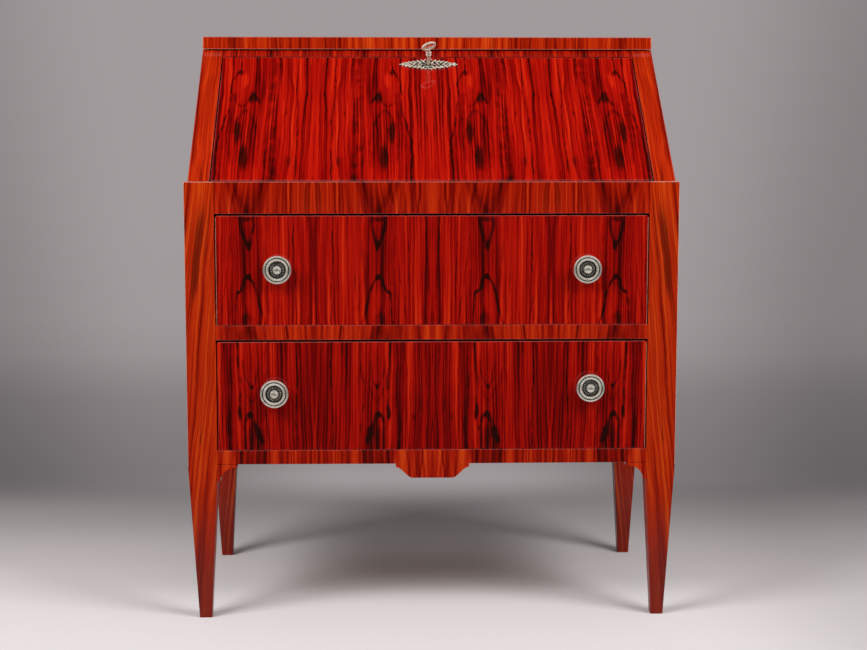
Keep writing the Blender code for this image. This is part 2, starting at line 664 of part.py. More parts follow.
def build_fall(frame):
    """The fall: a board with a lipped lower edge, cut for its hinges, lock and key."""
    panel = make_prism("fall_panel", fall_outline(), "x", -FALL_HALF, FALL_HALF, "veneer", frame)
    bm = bmesh.new()
    for _, middle in hinge_places():
        half = HINGE_WIDTH / 2 + LEAF_CLEARANCE
        add_cylinder(bm, "x", (0, 0, 0), middle - half, middle + half,
                     KNUCKLE_RADIUS + SWING_CLEARANCE, FINE_STEPS)
    knuckles = make_cutter("fall_knuckle_notches", bm, frame)
    bm = bmesh.new()
    for _, middle in hinge_places():
        half = HINGE_WIDTH / 2 + LEAF_CLEARANCE
        add_block(bm, (middle - half, middle + half), (-CUT_OVERRUN, HINGE_LEAF + LEAF_CLEARANCE),
                  (-HINGE_SINK - CUT_OVERRUN, -HINGE_SINK + HINGE_LEAF_THICKNESS + JOINT_GAP))
    leaf_seats = make_cutter("fall_leaf_seats", bm, frame)
    bm = bmesh.new()
    half = LOCK_WIDTH / 2 + JOINT_GAP
    add_block(bm, (-half, half), (FALL_REACH - LOCK_HEIGHT - JOINT_GAP, FALL_REACH + CUT_OVERRUN),
              (-HINGE_SINK - CUT_OVERRUN, -HINGE_SINK + LOCK_THICKNESS + JOINT_GAP))
    lock_pocket = make_cutter("lock_pocket", bm, frame)
    bm = bmesh.new()
    add_keyhole(bm, AXIS_TO_OUTER + CUT_OVERRUN, -HINGE_SINK + LOCK_THICKNESS - CUT_OVERRUN)
    keyhole = make_cutter("fall_keyhole", bm, frame)
    cut(panel, knuckles, leaf_seats, lock_pocket, keyhole)


def add_keyhole(bm, top, foot):
    """A round hole with a slot below it, for the shank and the bit."""
    radius = KEY_SHANK_RADIUS + KEY_CLEARANCE
    slot = KEY_BIT_THICKNESS / 2 + KEY_CLEARANCE
    outline = []
    start = math.asin(slot / radius)
    for step in range(FINE_STEPS + 1):
        turn = -math.pi / 2 + start + (math.tau - 2 * start) * step / FINE_STEPS
        outline.append((radius * math.cos(turn), KEY_ALONG + radius * math.sin(turn)))
    reach = KEY_ALONG - KEY_BIT_REACH - KEY_CLEARANCE
    outline += [(-slot, reach), (slot, reach)]
    add_prism(bm, outline, "z", foot, top)


def bolt_layer():
    """The bolt's thickness in the lock, as heights in the fall's frame."""
    low = -HINGE_SINK + SELVEDGE
    return low, low + BOLT_THICKNESS


def build_lock(frame):
    """The lock let into the fall's inner face, and its bolt, drawn back."""
    low, high = -HINGE_SINK, -HINGE_SINK + LOCK_THICKNESS
    half = LOCK_WIDTH / 2
    case = make_block("lock_case", (-half, half), (FALL_REACH - LOCK_HEIGHT, FALL_REACH), (low, high),
                      "brass", frame)
    bolt_low, bolt_high = bolt_layer()
    bm = bmesh.new()
    half = BOLT_WIDTH / 2 + BOLT_CLEARANCE
    length = BOLT_LENGTH + BOLT_SINK + BOLT_CLEARANCE
    add_block(bm, (-half, half), (FALL_REACH - length, FALL_REACH + CUT_OVERRUN),
              (bolt_low - BOLT_CLEARANCE, bolt_high + BOLT_CLEARANCE))
    channel = make_cutter("bolt_channel", bm, frame)
    bm = bmesh.new()
    add_cylinder(bm, "z", (0, KEY_ALONG, 0), high - KEY_CAVITY_DEPTH, high + CUT_OVERRUN,
                 KEY_CAVITY_RADIUS, ROUND_STEPS)
    cavity = make_cutter("key_cavity", bm, frame)
    cut(case, channel, cavity)
    half = BOLT_WIDTH / 2
    top = FALL_REACH - BOLT_SINK
    slide = make_pivot("bolt_slide", (0, FALL_REACH, 0), 0.0, frame)
    make_block("lock_bolt", (-half, half), (top - BOLT_LENGTH - FALL_REACH, top - FALL_REACH),
               (bolt_low, bolt_high), "steel", slide)


def build_keyhole_plate(frame):
    """The pierced plate round the keyhole: a pointed oval with a lobed edge."""
    half_length, half_height = PLATE_LENGTH / 2, PLATE_HEIGHT / 2
    count = PLATE_LOBES * CURVE_STEPS
    upper = []
    for step in range(count + 1):
        share = -1 + 2 * step / count
        swell = (1 - abs(share) ** PLATE_POINT_SHARE) ** PLATE_FULL_SHARE
        lobe = 1 - PLATE_LOBE_DEPTH_SHARE * (1 - abs(math.cos(math.pi * PLATE_LOBES * share / 2)))
        upper.append((half_length * share, half_height * swell * lobe))
    outline = [(x, KEY_ALONG + up) for x, up in upper]
    outline += [(x, KEY_ALONG - up) for x, up in reversed(upper[1:-1])]
    low = AXIS_TO_OUTER + JOINT_GAP
    plate = make_prism("keyhole_plate", outline, "z", low, low + PLATE_THICKNESS, "plate_metal", frame)
    bm = bmesh.new()
    add_keyhole(bm, low + PLATE_THICKNESS + CUT_OVERRUN, low - CUT_OVERRUN)
    keyhole = make_cutter("plate_keyhole", bm, frame)
    bm = bmesh.new()
    lobe_length = PLATE_LENGTH / PLATE_LOBES
    for index in (1, 2, PLATE_LOBES - 3, PLATE_LOBES - 2):
        middle = -half_length + lobe_length * (index + 1 / 2)
        swell = half_height * (1 - abs(middle / half_length) ** PLATE_POINT_SHARE)
        leaf = []
        for step in range(FINE_STEPS // 2):
            turn = math.tau * step * 2 / FINE_STEPS
            leaf.append((middle + lobe_length * math.cos(turn) / 3,
                         KEY_ALONG + swell * math.sin(turn) * abs(math.sin(turn)) / 2))
        add_prism(bm, leaf, "z", low - CUT_OVERRUN, low + PLATE_THICKNESS + CUT_OVERRUN)
    cut(plate, keyhole, make_cutter("plate_piercings", bm, frame))


def build_key(frame):
    """The key in the lock: shank, collar, oval bow and bit, turned as it was left."""
    turn = make_pivot("key_turn", (0, KEY_ALONG, AXIS_TO_OUTER), 0.0, frame)
    turn.rotation_euler = (0.0, 0.0, math.radians(KEY_TILT_DEG))
    floor = LOCK_THICKNESS - FALL_THICKNESS - KEY_CAVITY_DEPTH
    bow_low = KEY_REACH - KEY_BOW_HEIGHT
    profile = [(0, floor + KEY_CLEARANCE), (KEY_SHANK_RADIUS, floor + KEY_CLEARANCE),
               (KEY_SHANK_RADIUS, KEY_COLLAR_AT),
               (KEY_COLLAR_RADIUS, KEY_COLLAR_AT + KEY_COLLAR_LENGTH / 4),
               (KEY_COLLAR_RADIUS, KEY_COLLAR_AT + KEY_COLLAR_LENGTH * 3 / 4),
               (KEY_SHANK_RADIUS, KEY_COLLAR_AT + KEY_COLLAR_LENGTH),
               (KEY_SHANK_RADIUS, bow_low + KEY_BOW_BAR), (0, bow_low + KEY_BOW_BAR)]
    bm = bmesh.new()
    add_round(bm, profile, "z", (0, 0, 0), FINE_STEPS)
    key = finish_object("key", bm, "brass", turn, smooth_deg=40)
    bm = bmesh.new()
    steps = FINE_STEPS + CURVE_STEPS // 2
    centre_z = bow_low + KEY_BOW_HEIGHT / 2
    a, b = KEY_BOW_WIDTH / 2 - KEY_BOW_BAR, KEY_BOW_HEIGHT / 2 - KEY_BOW_BAR
    add_oval_ring(bm, centre_z, a, b, steps)
    join(key, make_cutter("key_bow", bm, turn))
    bm = bmesh.new()
    half = KEY_BIT_THICKNESS / 2
    add_block(bm, (-half, half), (-KEY_BIT_REACH, 0),
              (floor + KEY_CLEARANCE, floor + KEY_CLEARANCE + KEY_BIT_HEIGHT))
    join(key, make_cutter("key_bit", bm, turn))


def add_oval_ring(bm, centre_z, a, b, steps):
    """The bow of the key: a round bar bent to an oval, standing in the XZ plane."""
    sides = CURVE_STEPS
    rings = []
    for step in range(steps):
        turn = math.tau * step / steps
        centre = Vector((a * math.cos(turn), 0, centre_z + b * math.sin(turn)))
        outward = Vector((b * math.cos(turn), 0, a * math.sin(turn))).normalized()
        ring = []
        for side in range(sides):
            roll = math.tau * side / sides
            offset = outward * math.cos(roll) + Vector((0, math.sin(roll), 0))
            ring.append(bm.verts.new(centre + offset * KEY_BOW_BAR))
        rings.append([bm.edges.new((ring[side], ring[(side + 1) % sides])) for side in range(sides)])
    for step in range(steps):
        bmesh.ops.bridge_loops(bm, edges=rings[step] + rings[(step + 1) % steps])


def stay_geometry():
    """Pivot places and angles of the elbow stays, in the YZ plane about the hinge line.

    The gable pivot G and the fall pivot P stand equally far from the hinge, and both arms are
    equally long, so the arms fold alike. Closed, the elbow points up under the slope. Open, each
    arm stands STAY_ELBOW_DEG short of a straight line.
    """
    anchor = SLANT_ANGLE - math.radians(STAY_UNDER_SLOPE_DEG)
    lift = math.asin((STAY_PIVOT_HEIGHT + HINGE_SINK) / STAY_RADIUS)
    open_spread = math.pi - lift - anchor
    closed_spread = open_spread - FALL_TRAVEL
    elbow = math.radians(STAY_ELBOW_DEG)
    arm = STAY_RADIUS * math.sin(open_spread / 2) / math.cos(elbow)

    def bend(spread):
        """The angle at a pivot between the line to the hinge and its arm."""
        return math.pi / 2 - spread / 2 + math.acos(STAY_RADIUS * math.sin(spread / 2) / arm)

    swing = bend(closed_spread) - bend(open_spread)
    turn = anchor + math.pi - bend(closed_spread)
    return {
        "arm": arm,
        "gable_pivot": (HINGE_Y + STAY_RADIUS * math.cos(anchor), HINGE_Z + STAY_RADIUS * math.sin(anchor)),
        "fall_pivot": (STAY_RADIUS * math.cos(lift), -STAY_RADIUS * math.sin(lift)),
        "gable_arm_turn": turn,
        "folded_elbow_y": HINGE_Y + STAY_RADIUS * math.cos(anchor) + arm * math.cos(turn),
        "fall_arm_turn": -lift - math.pi + bend(closed_spread),
        "swing": swing,
        "ratio": swing / FALL_TRAVEL,
    }


def add_arm(bm, length, x_low, x_high):
    """A flat arm with a round eye at each end, from its pivot along +Y."""
    eye, half = STAY_EYE_RADIUS, STAY_BAR_WIDTH / 2
    start = math.asin(half / eye)
    outline = []
    for step in range(FINE_STEPS // 2 + 1):
        turn = start + (math.tau - 2 * start) * step * 2 / FINE_STEPS
        outline.append((eye * math.cos(turn), eye * math.sin(turn)))
    for step in range(FINE_STEPS // 2 + 1):
        turn = math.pi + start + (math.tau - 2 * start) * step * 2 / FINE_STEPS
        outline.append((length + eye * math.cos(turn), eye * math.sin(turn)))
    add_prism(bm, outline, "x", x_low, x_high)


def build_arm(name, pivot, x_low, x_high, length):
    """One arm of a stay, bored at the pivot that it turns on."""
    bm = bmesh.new()
    add_arm(bm, length, x_low, x_high)
    item = finish_object(name, bm, "brass", pivot)
    hole = bmesh.new()
    add_cylinder(hole, "x", (0, 0, 0), x_low - CUT_OVERRUN, x_high + CUT_OVERRUN,
                 STAY_RIVET_RADIUS + STAY_RIVET_CLEARANCE, FINE_STEPS)
    cut(item, make_cutter(f"{name}_bore", hole, pivot))


def build_stays(fall_frame):
    """A pair of brass elbow stays: gable plate, gable arm, fall arm and fall bracket."""
    shape = stay_geometry()
    gable_y, gable_z = shape["gable_pivot"]
    along, up = shape["fall_pivot"]
    plate_outer = BAY_HALF - JOINT_GAP
    plate_inner = plate_outer - STAY_PLATE_THICKNESS
    gable_arm = (plate_inner - STAY_STANDOFF - STAY_BAR_THICKNESS, plate_inner - STAY_STANDOFF)
    fall_arm = (gable_arm[0] - STAY_ARM_GAP - STAY_BAR_THICKNESS, gable_arm[0] - STAY_ARM_GAP)
    ear = (fall_arm[0] - STAY_ARM_GAP - STAY_PLATE_THICKNESS, fall_arm[0] - STAY_ARM_GAP)
    half_length, half_width = STAY_PLATE_LENGTH / 2, STAY_PLATE_WIDTH / 2
    foot_top = -HINGE_SINK - JOINT_GAP
    for side_name, side in (("left", -1), ("right", 1)):
        def span(low, high):
            """Limits along X on this side of the desk."""
            return sorted((side * low, side * high))

        plate = make_block(f"{side_name}_stay_gable_plate", span(plate_inner, plate_outer),
                           (gable_y - half_length, gable_y + half_length),
                           (gable_z - half_width, gable_z + half_width), "brass")
        stud = bmesh.new()
        reach = span(gable_arm[0] + JOINT_GAP, plate_outer - JOINT_GAP)
        add_cylinder(stud, "x", (0, gable_y, gable_z), *reach, STAY_RIVET_RADIUS, FINE_STEPS)
        join(plate, make_cutter(f"{side_name}_gable_stud", stud))
        pivot = make_pivot(f"{side_name}_gable_arm_pivot", (0, gable_y, gable_z), shape["gable_arm_turn"])
        build_arm(f"{side_name}_stay_gable_arm", pivot, *span(*gable_arm), shape["arm"])
        pivot = make_pivot(f"{side_name}_fall_arm_pivot", (0, along, up), shape["fall_arm_turn"], fall_frame)
        build_arm(f"{side_name}_stay_fall_arm", pivot, *span(*fall_arm), shape["arm"])

        # The bracket on the fall: a foot on the inner face and an ear that carries the rivet.
        bracket = make_block(f"{side_name}_stay_fall_bracket", span(ear[0] - STAY_PLATE_WIDTH, ear[1]),
                             (along - half_length, along + half_length),
                             (foot_top - STAY_PLATE_THICKNESS, foot_top), "brass", fall_frame)
        root = foot_top - JOINT_GAP
        outline = [(along - half_width * 2, root), (along + half_width * 2, root)]
        for step in range(CURVE_STEPS + 1):
            turn = -math.pi * step / CURVE_STEPS
            outline.append((along + STAY_EYE_RADIUS * math.cos(turn), up + STAY_EYE_RADIUS * math.sin(turn)))
        plate = bmesh.new()
        add_prism(plate, outline, "x", *span(*ear))
        join(bracket, make_cutter(f"{side_name}_fall_ear", plate, fall_frame))
        rivet = bmesh.new()
        add_cylinder(rivet, "x", (0, along, up), *span(ear[0] + JOINT_GAP, fall_arm[1] - JOINT_GAP),
                     STAY_RIVET_RADIUS, FINE_STEPS)
        join(bracket, make_cutter(f"{side_name}_fall_rivet", rivet, fall_frame))


def tail_rows(foot, top):
    """The middle height and half width of each dovetail between two levels."""
    pitch = (top - foot) / TAIL_COUNT
    return [(foot + pitch * (index + 1 / 2), pitch * TAIL_WIDTH_SHARE / 2) for index in range(TAIL_COUNT)]


def tail_shape(root, tip, middle, half, gap=0.0):
    """One dovetail, wider at its tip, in the side's own plane (y, z)."""
    slope = (tip - root) * TAIL_SLOPE_SHARE
    spread = half + abs(slope)
    end = tip + math.copysign(gap, tip - root)
    return [(root, middle - half - gap), (end, middle - spread - gap),
            (end, middle + spread + gap), (root, middle + half + gap)]


def knob_profile(shares, radius, reach, stud_radius, stud_reach):
    """A turned knob in section, as (radius, run), from the stud's end behind the face to the crown."""
    stud = [(0, stud_reach), (stud_radius, stud_reach), (stud_radius, -JOINT_GAP)]
    head = [(radius * across, -JOINT_GAP - (reach - JOINT_GAP) * out) for across, out in shares]
    return stud + head


def front_outline(half, height):
    """A drawer front with its two upper corners rounded."""
    points = [(-half, 0), (half, 0)]
    for side in (1, -1):
        centre = side * (half - FRONT_CORNER)
        for step in range(CURVE_STEPS // 2 + 1):
            turn = math.pi / 2 * step * 2 / CURVE_STEPS
            turn = turn if side > 0 else math.pi / 2 - turn
            points.append((centre + side * FRONT_CORNER * math.cos(turn),
                           height - FRONT_CORNER + FRONT_CORNER * math.sin(turn)))
    return points


def build_drawer(name, foot, opening, knob_places):
    """A long drawer: dovetailed box, grooved bottom, veneered front and two screwed knobs."""
    frame = make_pivot(f"{name}_slide", (0, FRONT, foot + JOINT_GAP))
    half = OPENING_HALF - FRONT_SIDE_GAP
    height = opening - FRONT_TOP_GAP - JOINT_GAP
    side_top = height - DRAWER_SIDE_DROP
    back_end = CASE_DEPTH - BACK_THICKNESS - DRAWER_BACK_GAP
    side_inner = half - DRAWER_SIDE_THICKNESS
    back_root = back_end - DRAWER_BACK_THICKNESS
    front_tip = FRONT_THICKNESS - TAIL_LENGTH
    rows = tail_rows(0, side_top)

    front = make_prism(f"{name}_front", front_outline(half, height), "y", 0, FRONT_THICKNESS,
                       "veneer", frame)
    soften_face(front)
    sockets = bmesh.new()
    for side in (-1, 1):
        span = sorted((side * (side_inner - JOINT_GAP), side * (half + CUT_OVERRUN)))
        for middle, tail_half in rows:
            shape = tail_shape(FRONT_THICKNESS + CUT_OVERRUN, front_tip, middle, tail_half, JOINT_GAP)
            add_prism(sockets, shape, "x", *span)
    groove = bmesh.new()
    bottom_low = DRAWER_BOTTOM_RAISE
    bottom_high = bottom_low + DRAWER_BOTTOM_THICKNESS
    add_block(groove, (-side_inner + JOINT_GAP, side_inner - JOINT_GAP),
              (FRONT_THICKNESS - GROOVE_DEPTH - JOINT_GAP, FRONT_THICKNESS + CUT_OVERRUN),
              (bottom_low - JOINT_GAP, bottom_high + JOINT_GAP))
    holes = bmesh.new()
    for x, rise in knob_places:
        add_cylinder(holes, "y", (x, 0, rise), -CUT_OVERRUN, KNOB_STUD_REACH + JOINT_GAP,
                     KNOB_STUD_RADIUS + KNOB_STUD_CLEARANCE, FINE_STEPS)
    cut(front, make_cutter(f"{name}_sockets", sockets, frame),
        make_cutter(f"{name}_front_groove", groove, frame),
        make_cutter(f"{name}_knob_holes", holes, frame))

    outline = [(FRONT_THICKNESS + JOINT_GAP, 0), (back_root - JOINT_GAP, 0)]
    for middle, tail_half in rows:
        outline += tail_shape(back_root - JOINT_GAP, back_end, middle, tail_half)
    outline += [(back_root - JOINT_GAP, side_top), (FRONT_THICKNESS + JOINT_GAP, side_top)]
    for middle, tail_half in reversed(rows):
        outline += reversed(tail_shape(FRONT_THICKNESS + JOINT_GAP, front_tip, middle, tail_half))
    for side_name, side in (("left", -1), ("right", 1)):
        span = sorted((side * side_inner, side * half))
        item = make_prism(f"{name}_{side_name}_side", outline, "x", *span, "pale_wood", frame)
        groove = bmesh.new()
        limits = sorted((side * (side_inner - CUT_OVERRUN), side * (side_inner + GROOVE_DEPTH + JOINT_GAP)))
        add_block(groove, limits, (FRONT_THICKNESS - CUT_OVERRUN, back_end + CUT_OVERRUN),
                  (bottom_low - JOINT_GAP, bottom_high + JOINT_GAP))
        cut(item, make_cutter(f"{name}_{side_name}_groove", groove, frame))

    back_foot = bottom_high + JOINT_GAP
    back = make_block(f"{name}_back", (-half, half), (back_root, back_end), (back_foot, side_top),
                      "pale_wood", frame)
    sockets = bmesh.new()
    for side in (-1, 1):
        span = sorted((side * (side_inner - JOINT_GAP), side * (half + CUT_OVERRUN)))
        for middle, tail_half in rows:
            shape = tail_shape(back_root - CUT_OVERRUN, back_end + CUT_OVERRUN, middle, tail_half, JOINT_GAP)
            add_prism(sockets, shape, "x", *span)
    cut(back, make_cutter(f"{name}_back_sockets", sockets, frame))
    reach = side_inner + GROOVE_DEPTH
    bottom = make_block(f"{name}_bottom", (-reach, reach), (FRONT_THICKNESS + JOINT_GAP, back_end),
                        (bottom_low, bottom_high), "pale_wood", frame)
    bm = bmesh.new()
    add_block(bm, (-side_inner + CUT_OVERRUN, side_inner - CUT_OVERRUN),
              (FRONT_THICKNESS - GROOVE_DEPTH, FRONT_THICKNESS + CUT_OVERRUN), (bottom_low, bottom_high))
    join(bottom, make_cutter(f"{name}_bottom_tongue", bm, frame))

    for (x, rise), side_name in zip(knob_places, ("left", "right")):
        profile = knob_profile(KNOB_SHARES, KNOB_RADIUS, KNOB_REACH, KNOB_STUD_RADIUS, KNOB_STUD_REACH)
        bm = bmesh.new()
        add_round(bm, profile, "y", (x, 0, rise), ROUND_STEPS)
        finish_object(f"{name}_{side_name}_knob", bm, "brass", frame, smooth_deg=40)


def soften_face(front):
    """Take the arris off the outer face of a drawer front."""
    bm = bmesh.new()
    bm.from_mesh(front.data)
    rim = [edge for edge in bm.edges if all(abs(vert.co.y) < JOINT_GAP for vert in edge.verts)]
    bmesh.ops.bevel(bm, geom=rim, offset=ARRIS, offset_type="OFFSET", segments=1,
                    profile=0.5, affect="EDGES", material=-1)
    bm.to_mesh(front.data)
    bm.free()


def gallery_front():
    """The gallery stands behind the folded stays, and its dividers' tops behind the head rail."""
    behind_stays = stay_geometry()["folded_elbow_y"] + STAY_EYE_RADIUS + GALLERY_CLEARANCE
    head_back = FRONT + SLANT_RUN + HEAD_RAIL_DEPTH
    behind_head = head_back + GALLERY_HEAD_CLEARANCE - SHELF_THICKNESS - DIVIDER_SWEEP
    return max(behind_stays, behind_head)


def build_gallery():
    """The glued gallery behind the fall: a shelf on two uprights, and swept pigeonhole dividers."""
    front, back = gallery_front(), BACK - BACK_THICKNESS - JOINT_GAP
    reach = BAY_HALF - JOINT_GAP
    foot = WRITING_LEVEL + JOINT_GAP
    shelf_low = WRITING_LEVEL + GALLERY_TIER
    shelf_top = shelf_low + SHELF_THICKNESS
    bay = CENTRE_BAY / 2
    half = [(0, shelf_low), (bay, shelf_low), (bay, foot), (bay + DIVIDER_THICKNESS, foot),
            (bay + DIVIDER_THICKNESS, shelf_low), (reach, shelf_low), (reach, shelf_top)]
    outline = half[1:] + [(-x, z) for x, z in reversed(half[1:])]
    gallery = make_prism("gallery", outline, "y", front, back, "inner_wood")
    low, high = shelf_top - SHELF_THICKNESS / 2, UNDER_TOP - JOINT_GAP
    sweep = []
    for step in range(CURVE_STEPS + 1):
        share = step / CURVE_STEPS
        run = SHELF_THICKNESS + DIVIDER_SWEEP * (1 - math.cos(math.pi * share)) / 2
        sweep.append((front + run, low + (high - low) * share))
    outline = sweep + [(back - JOINT_GAP, high), (back - JOINT_GAP, low)]
    dividers = bmesh.new()
    pitch = 2 * BAY_HALF / PIGEONHOLES
    for index in range(1, PIGEONHOLES):
        middle = -BAY_HALF + pitch * index
        add_prism(dividers, outline, "x", middle - DIVIDER_THICKNESS / 2, middle + DIVIDER_THICKNESS / 2)
    join(gallery, make_cutter("gallery_dividers", dividers))


def build_small_drawer(side_name, side):
    """A small drawer of the gallery: front, tray and knob."""
    low = CENTRE_BAY / 2 + DIVIDER_THICKNESS + SMALL_GAP
    high = BAY_HALF - SMALL_GAP
    middle = side * (low + high) / 2
    half = (high - low) / 2
    frame = make_pivot(f"{side_name}_small_slide", (middle, gallery_front(), WRITING_LEVEL + JOINT_GAP))
    height = GALLERY_TIER - SMALL_GAP - JOINT_GAP
    depth = BACK - BACK_THICKNESS - gallery_front() - SMALL_WALL
    name = f"{side_name}_small_drawer"
    front = make_block(f"{name}_front", (-half, half), (0, SMALL_FRONT_THICKNESS), (0, height),
                       "veneer", frame, arris=ARRIS)
    holes = bmesh.new()
    add_cylinder(holes, "y", (0, 0, height / 2), -CUT_OVERRUN, SMALL_FRONT_THICKNESS + CUT_OVERRUN,
                 SMALL_KNOB_STUD_RADIUS + KNOB_STUD_CLEARANCE, FINE_STEPS)
    cut(front, make_cutter(f"{name}_knob_hole", holes, frame))
    bm = bmesh.new()
    start = SMALL_FRONT_THICKNESS + JOINT_GAP
    add_block(bm, (-half, half), (start, depth), (0, height - SMALL_WALL_DROP))
    tray = finish_object(f"{name}_tray", bm, "pale_wood", frame)
    hollow = bmesh.new()
    add_block(hollow, (-half + SMALL_WALL, half - SMALL_WALL), (start - CUT_OVERRUN, depth - SMALL_WALL),
              (SMALL_BOTTOM, height + CUT_OVERRUN))
    cut(tray, make_cutter(f"{name}_hollow", hollow, frame))
    bm = bmesh.new()
    profile = knob_profile(SMALL_KNOB_SHARES, SMALL_KNOB_RADIUS, SMALL_KNOB_REACH,
                           SMALL_KNOB_STUD_RADIUS, SMALL_FRONT_THICKNESS)
    add_round(bm, profile, "y", (0, 0, height / 2), FINE_STEPS)
    finish_object(f"{name}_knob", bm, "brass", frame, smooth_deg=40)


def build_desk():
    """Put the whole desk together, closed, with the key in its lock."""
    clear_scene()
    bm = bmesh.new()
    reach = BAY_HALF - FALL_SIDE_GAP / 2
    add_cylinder(bm, "x", (0, HINGE_Y, HINGE_Z), -reach, reach, CHANNEL_RADIUS, SWING_STEPS)
    channel = make_cutter("heel_channel", bm)
    posts = build_legs()
    build_front_rails(posts, channel)
    build_corner_brackets()
    build_case_shell()
    build_runners()
    build_upper_section()
    build_writing_board()
    fall_frame = make_pivot("fall_hinge", (0, HINGE_Y, HINGE_Z), SLANT_ANGLE)
    build_fall(fall_frame)
    build_hinges(fall_frame)
    build_lock(fall_frame)
    build_keyhole_plate(fall_frame)
    build_key(fall_frame)
    build_stays(fall_frame)
    front_half = OPENING_HALF - FRONT_SIDE_GAP
    upper_knobs = [(side * (front_half - KNOB_INSET), KNOB_RISE) for side in (-1, 1)]
    lower_knobs = [(side * (front_half - KNOB_LOWER_INSET), KNOB_LOWER_RISE + side * KNOB_LOWER_SKEW)
                   for side in (-1, 1)]
    build_drawer("upper_drawer", UPPER_OPENING_FOOT, UPPER_OPENING, upper_knobs)
    build_drawer("lower_drawer", LOWER_OPENING_FOOT, LOWER_OPENING, lower_knobs)
    build_gallery()
    for side_name, side in (("left", -1), ("right", 1)):
        build_small_drawer(side_name, side)


build_desk()
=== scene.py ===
# %% [markdown]
# # A slant-front desk in lacquered veneer
#
# The desk is a box on four tapered legs. A sloping fall closes its upper part, and two long
# drawers lie below. Carpenters made the carcass of plain wood and glued thin sheets of a striped,
# dark red wood on it, then polished a thick clear lacquer over the whole.
#
# The measured solids of the desk are loaded first. They are the frame that everything here is
# built around: a board keeps its place and its size, and gets its finish.

# %% Load the measured desk
import json
import math

import bmesh
import bpy
from mathutils import Euler, Matrix, Vector

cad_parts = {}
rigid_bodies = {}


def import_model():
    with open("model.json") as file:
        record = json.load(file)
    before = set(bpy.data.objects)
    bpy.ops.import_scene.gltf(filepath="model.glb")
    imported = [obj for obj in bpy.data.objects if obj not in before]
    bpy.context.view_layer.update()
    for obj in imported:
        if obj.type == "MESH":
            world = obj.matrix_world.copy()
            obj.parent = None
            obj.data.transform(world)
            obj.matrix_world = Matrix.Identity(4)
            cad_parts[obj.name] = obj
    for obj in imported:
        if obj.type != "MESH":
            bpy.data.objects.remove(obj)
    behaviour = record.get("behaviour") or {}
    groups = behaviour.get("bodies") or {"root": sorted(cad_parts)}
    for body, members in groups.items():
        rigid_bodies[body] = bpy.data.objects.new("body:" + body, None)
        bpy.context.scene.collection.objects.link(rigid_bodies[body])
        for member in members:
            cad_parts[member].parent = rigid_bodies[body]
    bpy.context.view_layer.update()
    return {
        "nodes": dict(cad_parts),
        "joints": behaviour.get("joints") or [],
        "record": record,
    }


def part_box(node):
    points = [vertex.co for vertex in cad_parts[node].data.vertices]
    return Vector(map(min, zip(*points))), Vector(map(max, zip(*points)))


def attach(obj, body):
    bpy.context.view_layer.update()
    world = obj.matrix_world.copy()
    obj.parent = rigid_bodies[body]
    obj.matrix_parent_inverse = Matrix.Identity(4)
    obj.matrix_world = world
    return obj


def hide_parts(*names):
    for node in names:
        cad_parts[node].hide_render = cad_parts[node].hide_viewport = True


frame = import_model()
nodes = frame["nodes"]

# %% [markdown]
# ## Where things are
#
# The fall turns about one hinge line. Closed, it lies on the slope, and open it lies level, so the
# slope is what its swing leaves of a half turn. A matrix that stands on the hinge line and leans
# with the slope lets the lock plate and the key be modelled flat and then set on the fall.

# %% Slope, faces and hinge line
joints = {joint["name"]: joint for joint in frame["joints"]}
HINGE = Vector(joints["fall_hinge"]["pos_m"])
SLOPE = math.pi - math.radians(joints["fall_hinge"]["range_deg"][1])
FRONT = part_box("top_rail")[0].y
CASE_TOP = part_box("top_rail")[1].z
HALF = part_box("front_right_leg")[1].x
on_slope = Matrix.Translation(HINGE) @ Matrix.Rotation(SLOPE, 4, "X")
UPHILL = Vector((0, math.cos(SLOPE), math.sin(SLOPE)))
OUT = Vector((0, -math.sin(SLOPE), math.cos(SLOPE)))
print("slope in degrees:", round(math.degrees(SLOPE), 3))

# %% [markdown]
# ## The camera
#
# The photograph was taken from about three metres, a little left of the middle and from the height
# of a seated person's eyes, with a long lens that looks slightly down. The values come from fitting
# the corners of the desk to the picture, which is 867 by 650 pixels.

# %% Camera
CAMERA_PLACE = (-0.0869, -3.1121, 0.8699)
CAMERA_DOWN_DEG = 7.119
CAMERA_TURN_DEG = -1.755
CAMERA_ROLL_DEG = 0.029
LENS_MM = 71.73
SENSOR_MM = 36.0

camera_data = bpy.data.cameras.new("camera")
camera_data.sensor_fit = "HORIZONTAL"
camera_data.sensor_width = SENSOR_MM
camera_data.lens = LENS_MM
camera = bpy.data.objects.new("camera", camera_data)
bpy.context.scene.collection.objects.link(camera)
aim = Euler((math.radians(90 - CAMERA_DOWN_DEG), 0, math.radians(CAMERA_TURN_DEG))).to_matrix()
roll = Matrix.Rotation(math.radians(CAMERA_ROLL_DEG), 3, "Z")
camera.matrix_world = Matrix.Translation(CAMERA_PLACE) @ (aim @ roll).to_4x4()
bpy.context.scene.camera = camera
bpy.context.scene.view_settings.view_transform = "Standard"
print("camera at", tuple(round(v, 3) for v in camera.location))

# %% [markdown]
# ## Small helpers for shader nodes
#
# A material is a graph of nodes. Sums and noises come up dozens of times, so each gets a short
# function that adds the node, connects what it is given and hands back its output. A plain number
# goes into the socket, and another node's output is linked to it.
#
# The limits of a smooth step are often kept under a name: where the step starts and where it ends,
# and then the values it has there, unless these are 0 and 1.

# %% Node helpers
def feed(tree, socket, value):
    """Link an output to a socket, or write a constant into it."""
    if isinstance(value, bpy.types.NodeSocket):
        tree.links.new(value, socket)
    else:
        socket.default_value = value


def calc(tree, operation, *values, clamp=False):
    """A Math node."""
    node = tree.nodes.new("ShaderNodeMath")
    node.operation = operation
    node.use_clamp = clamp
    for socket, value in zip(node.inputs, values):
        feed(tree, socket, value)
    return node.outputs[0]


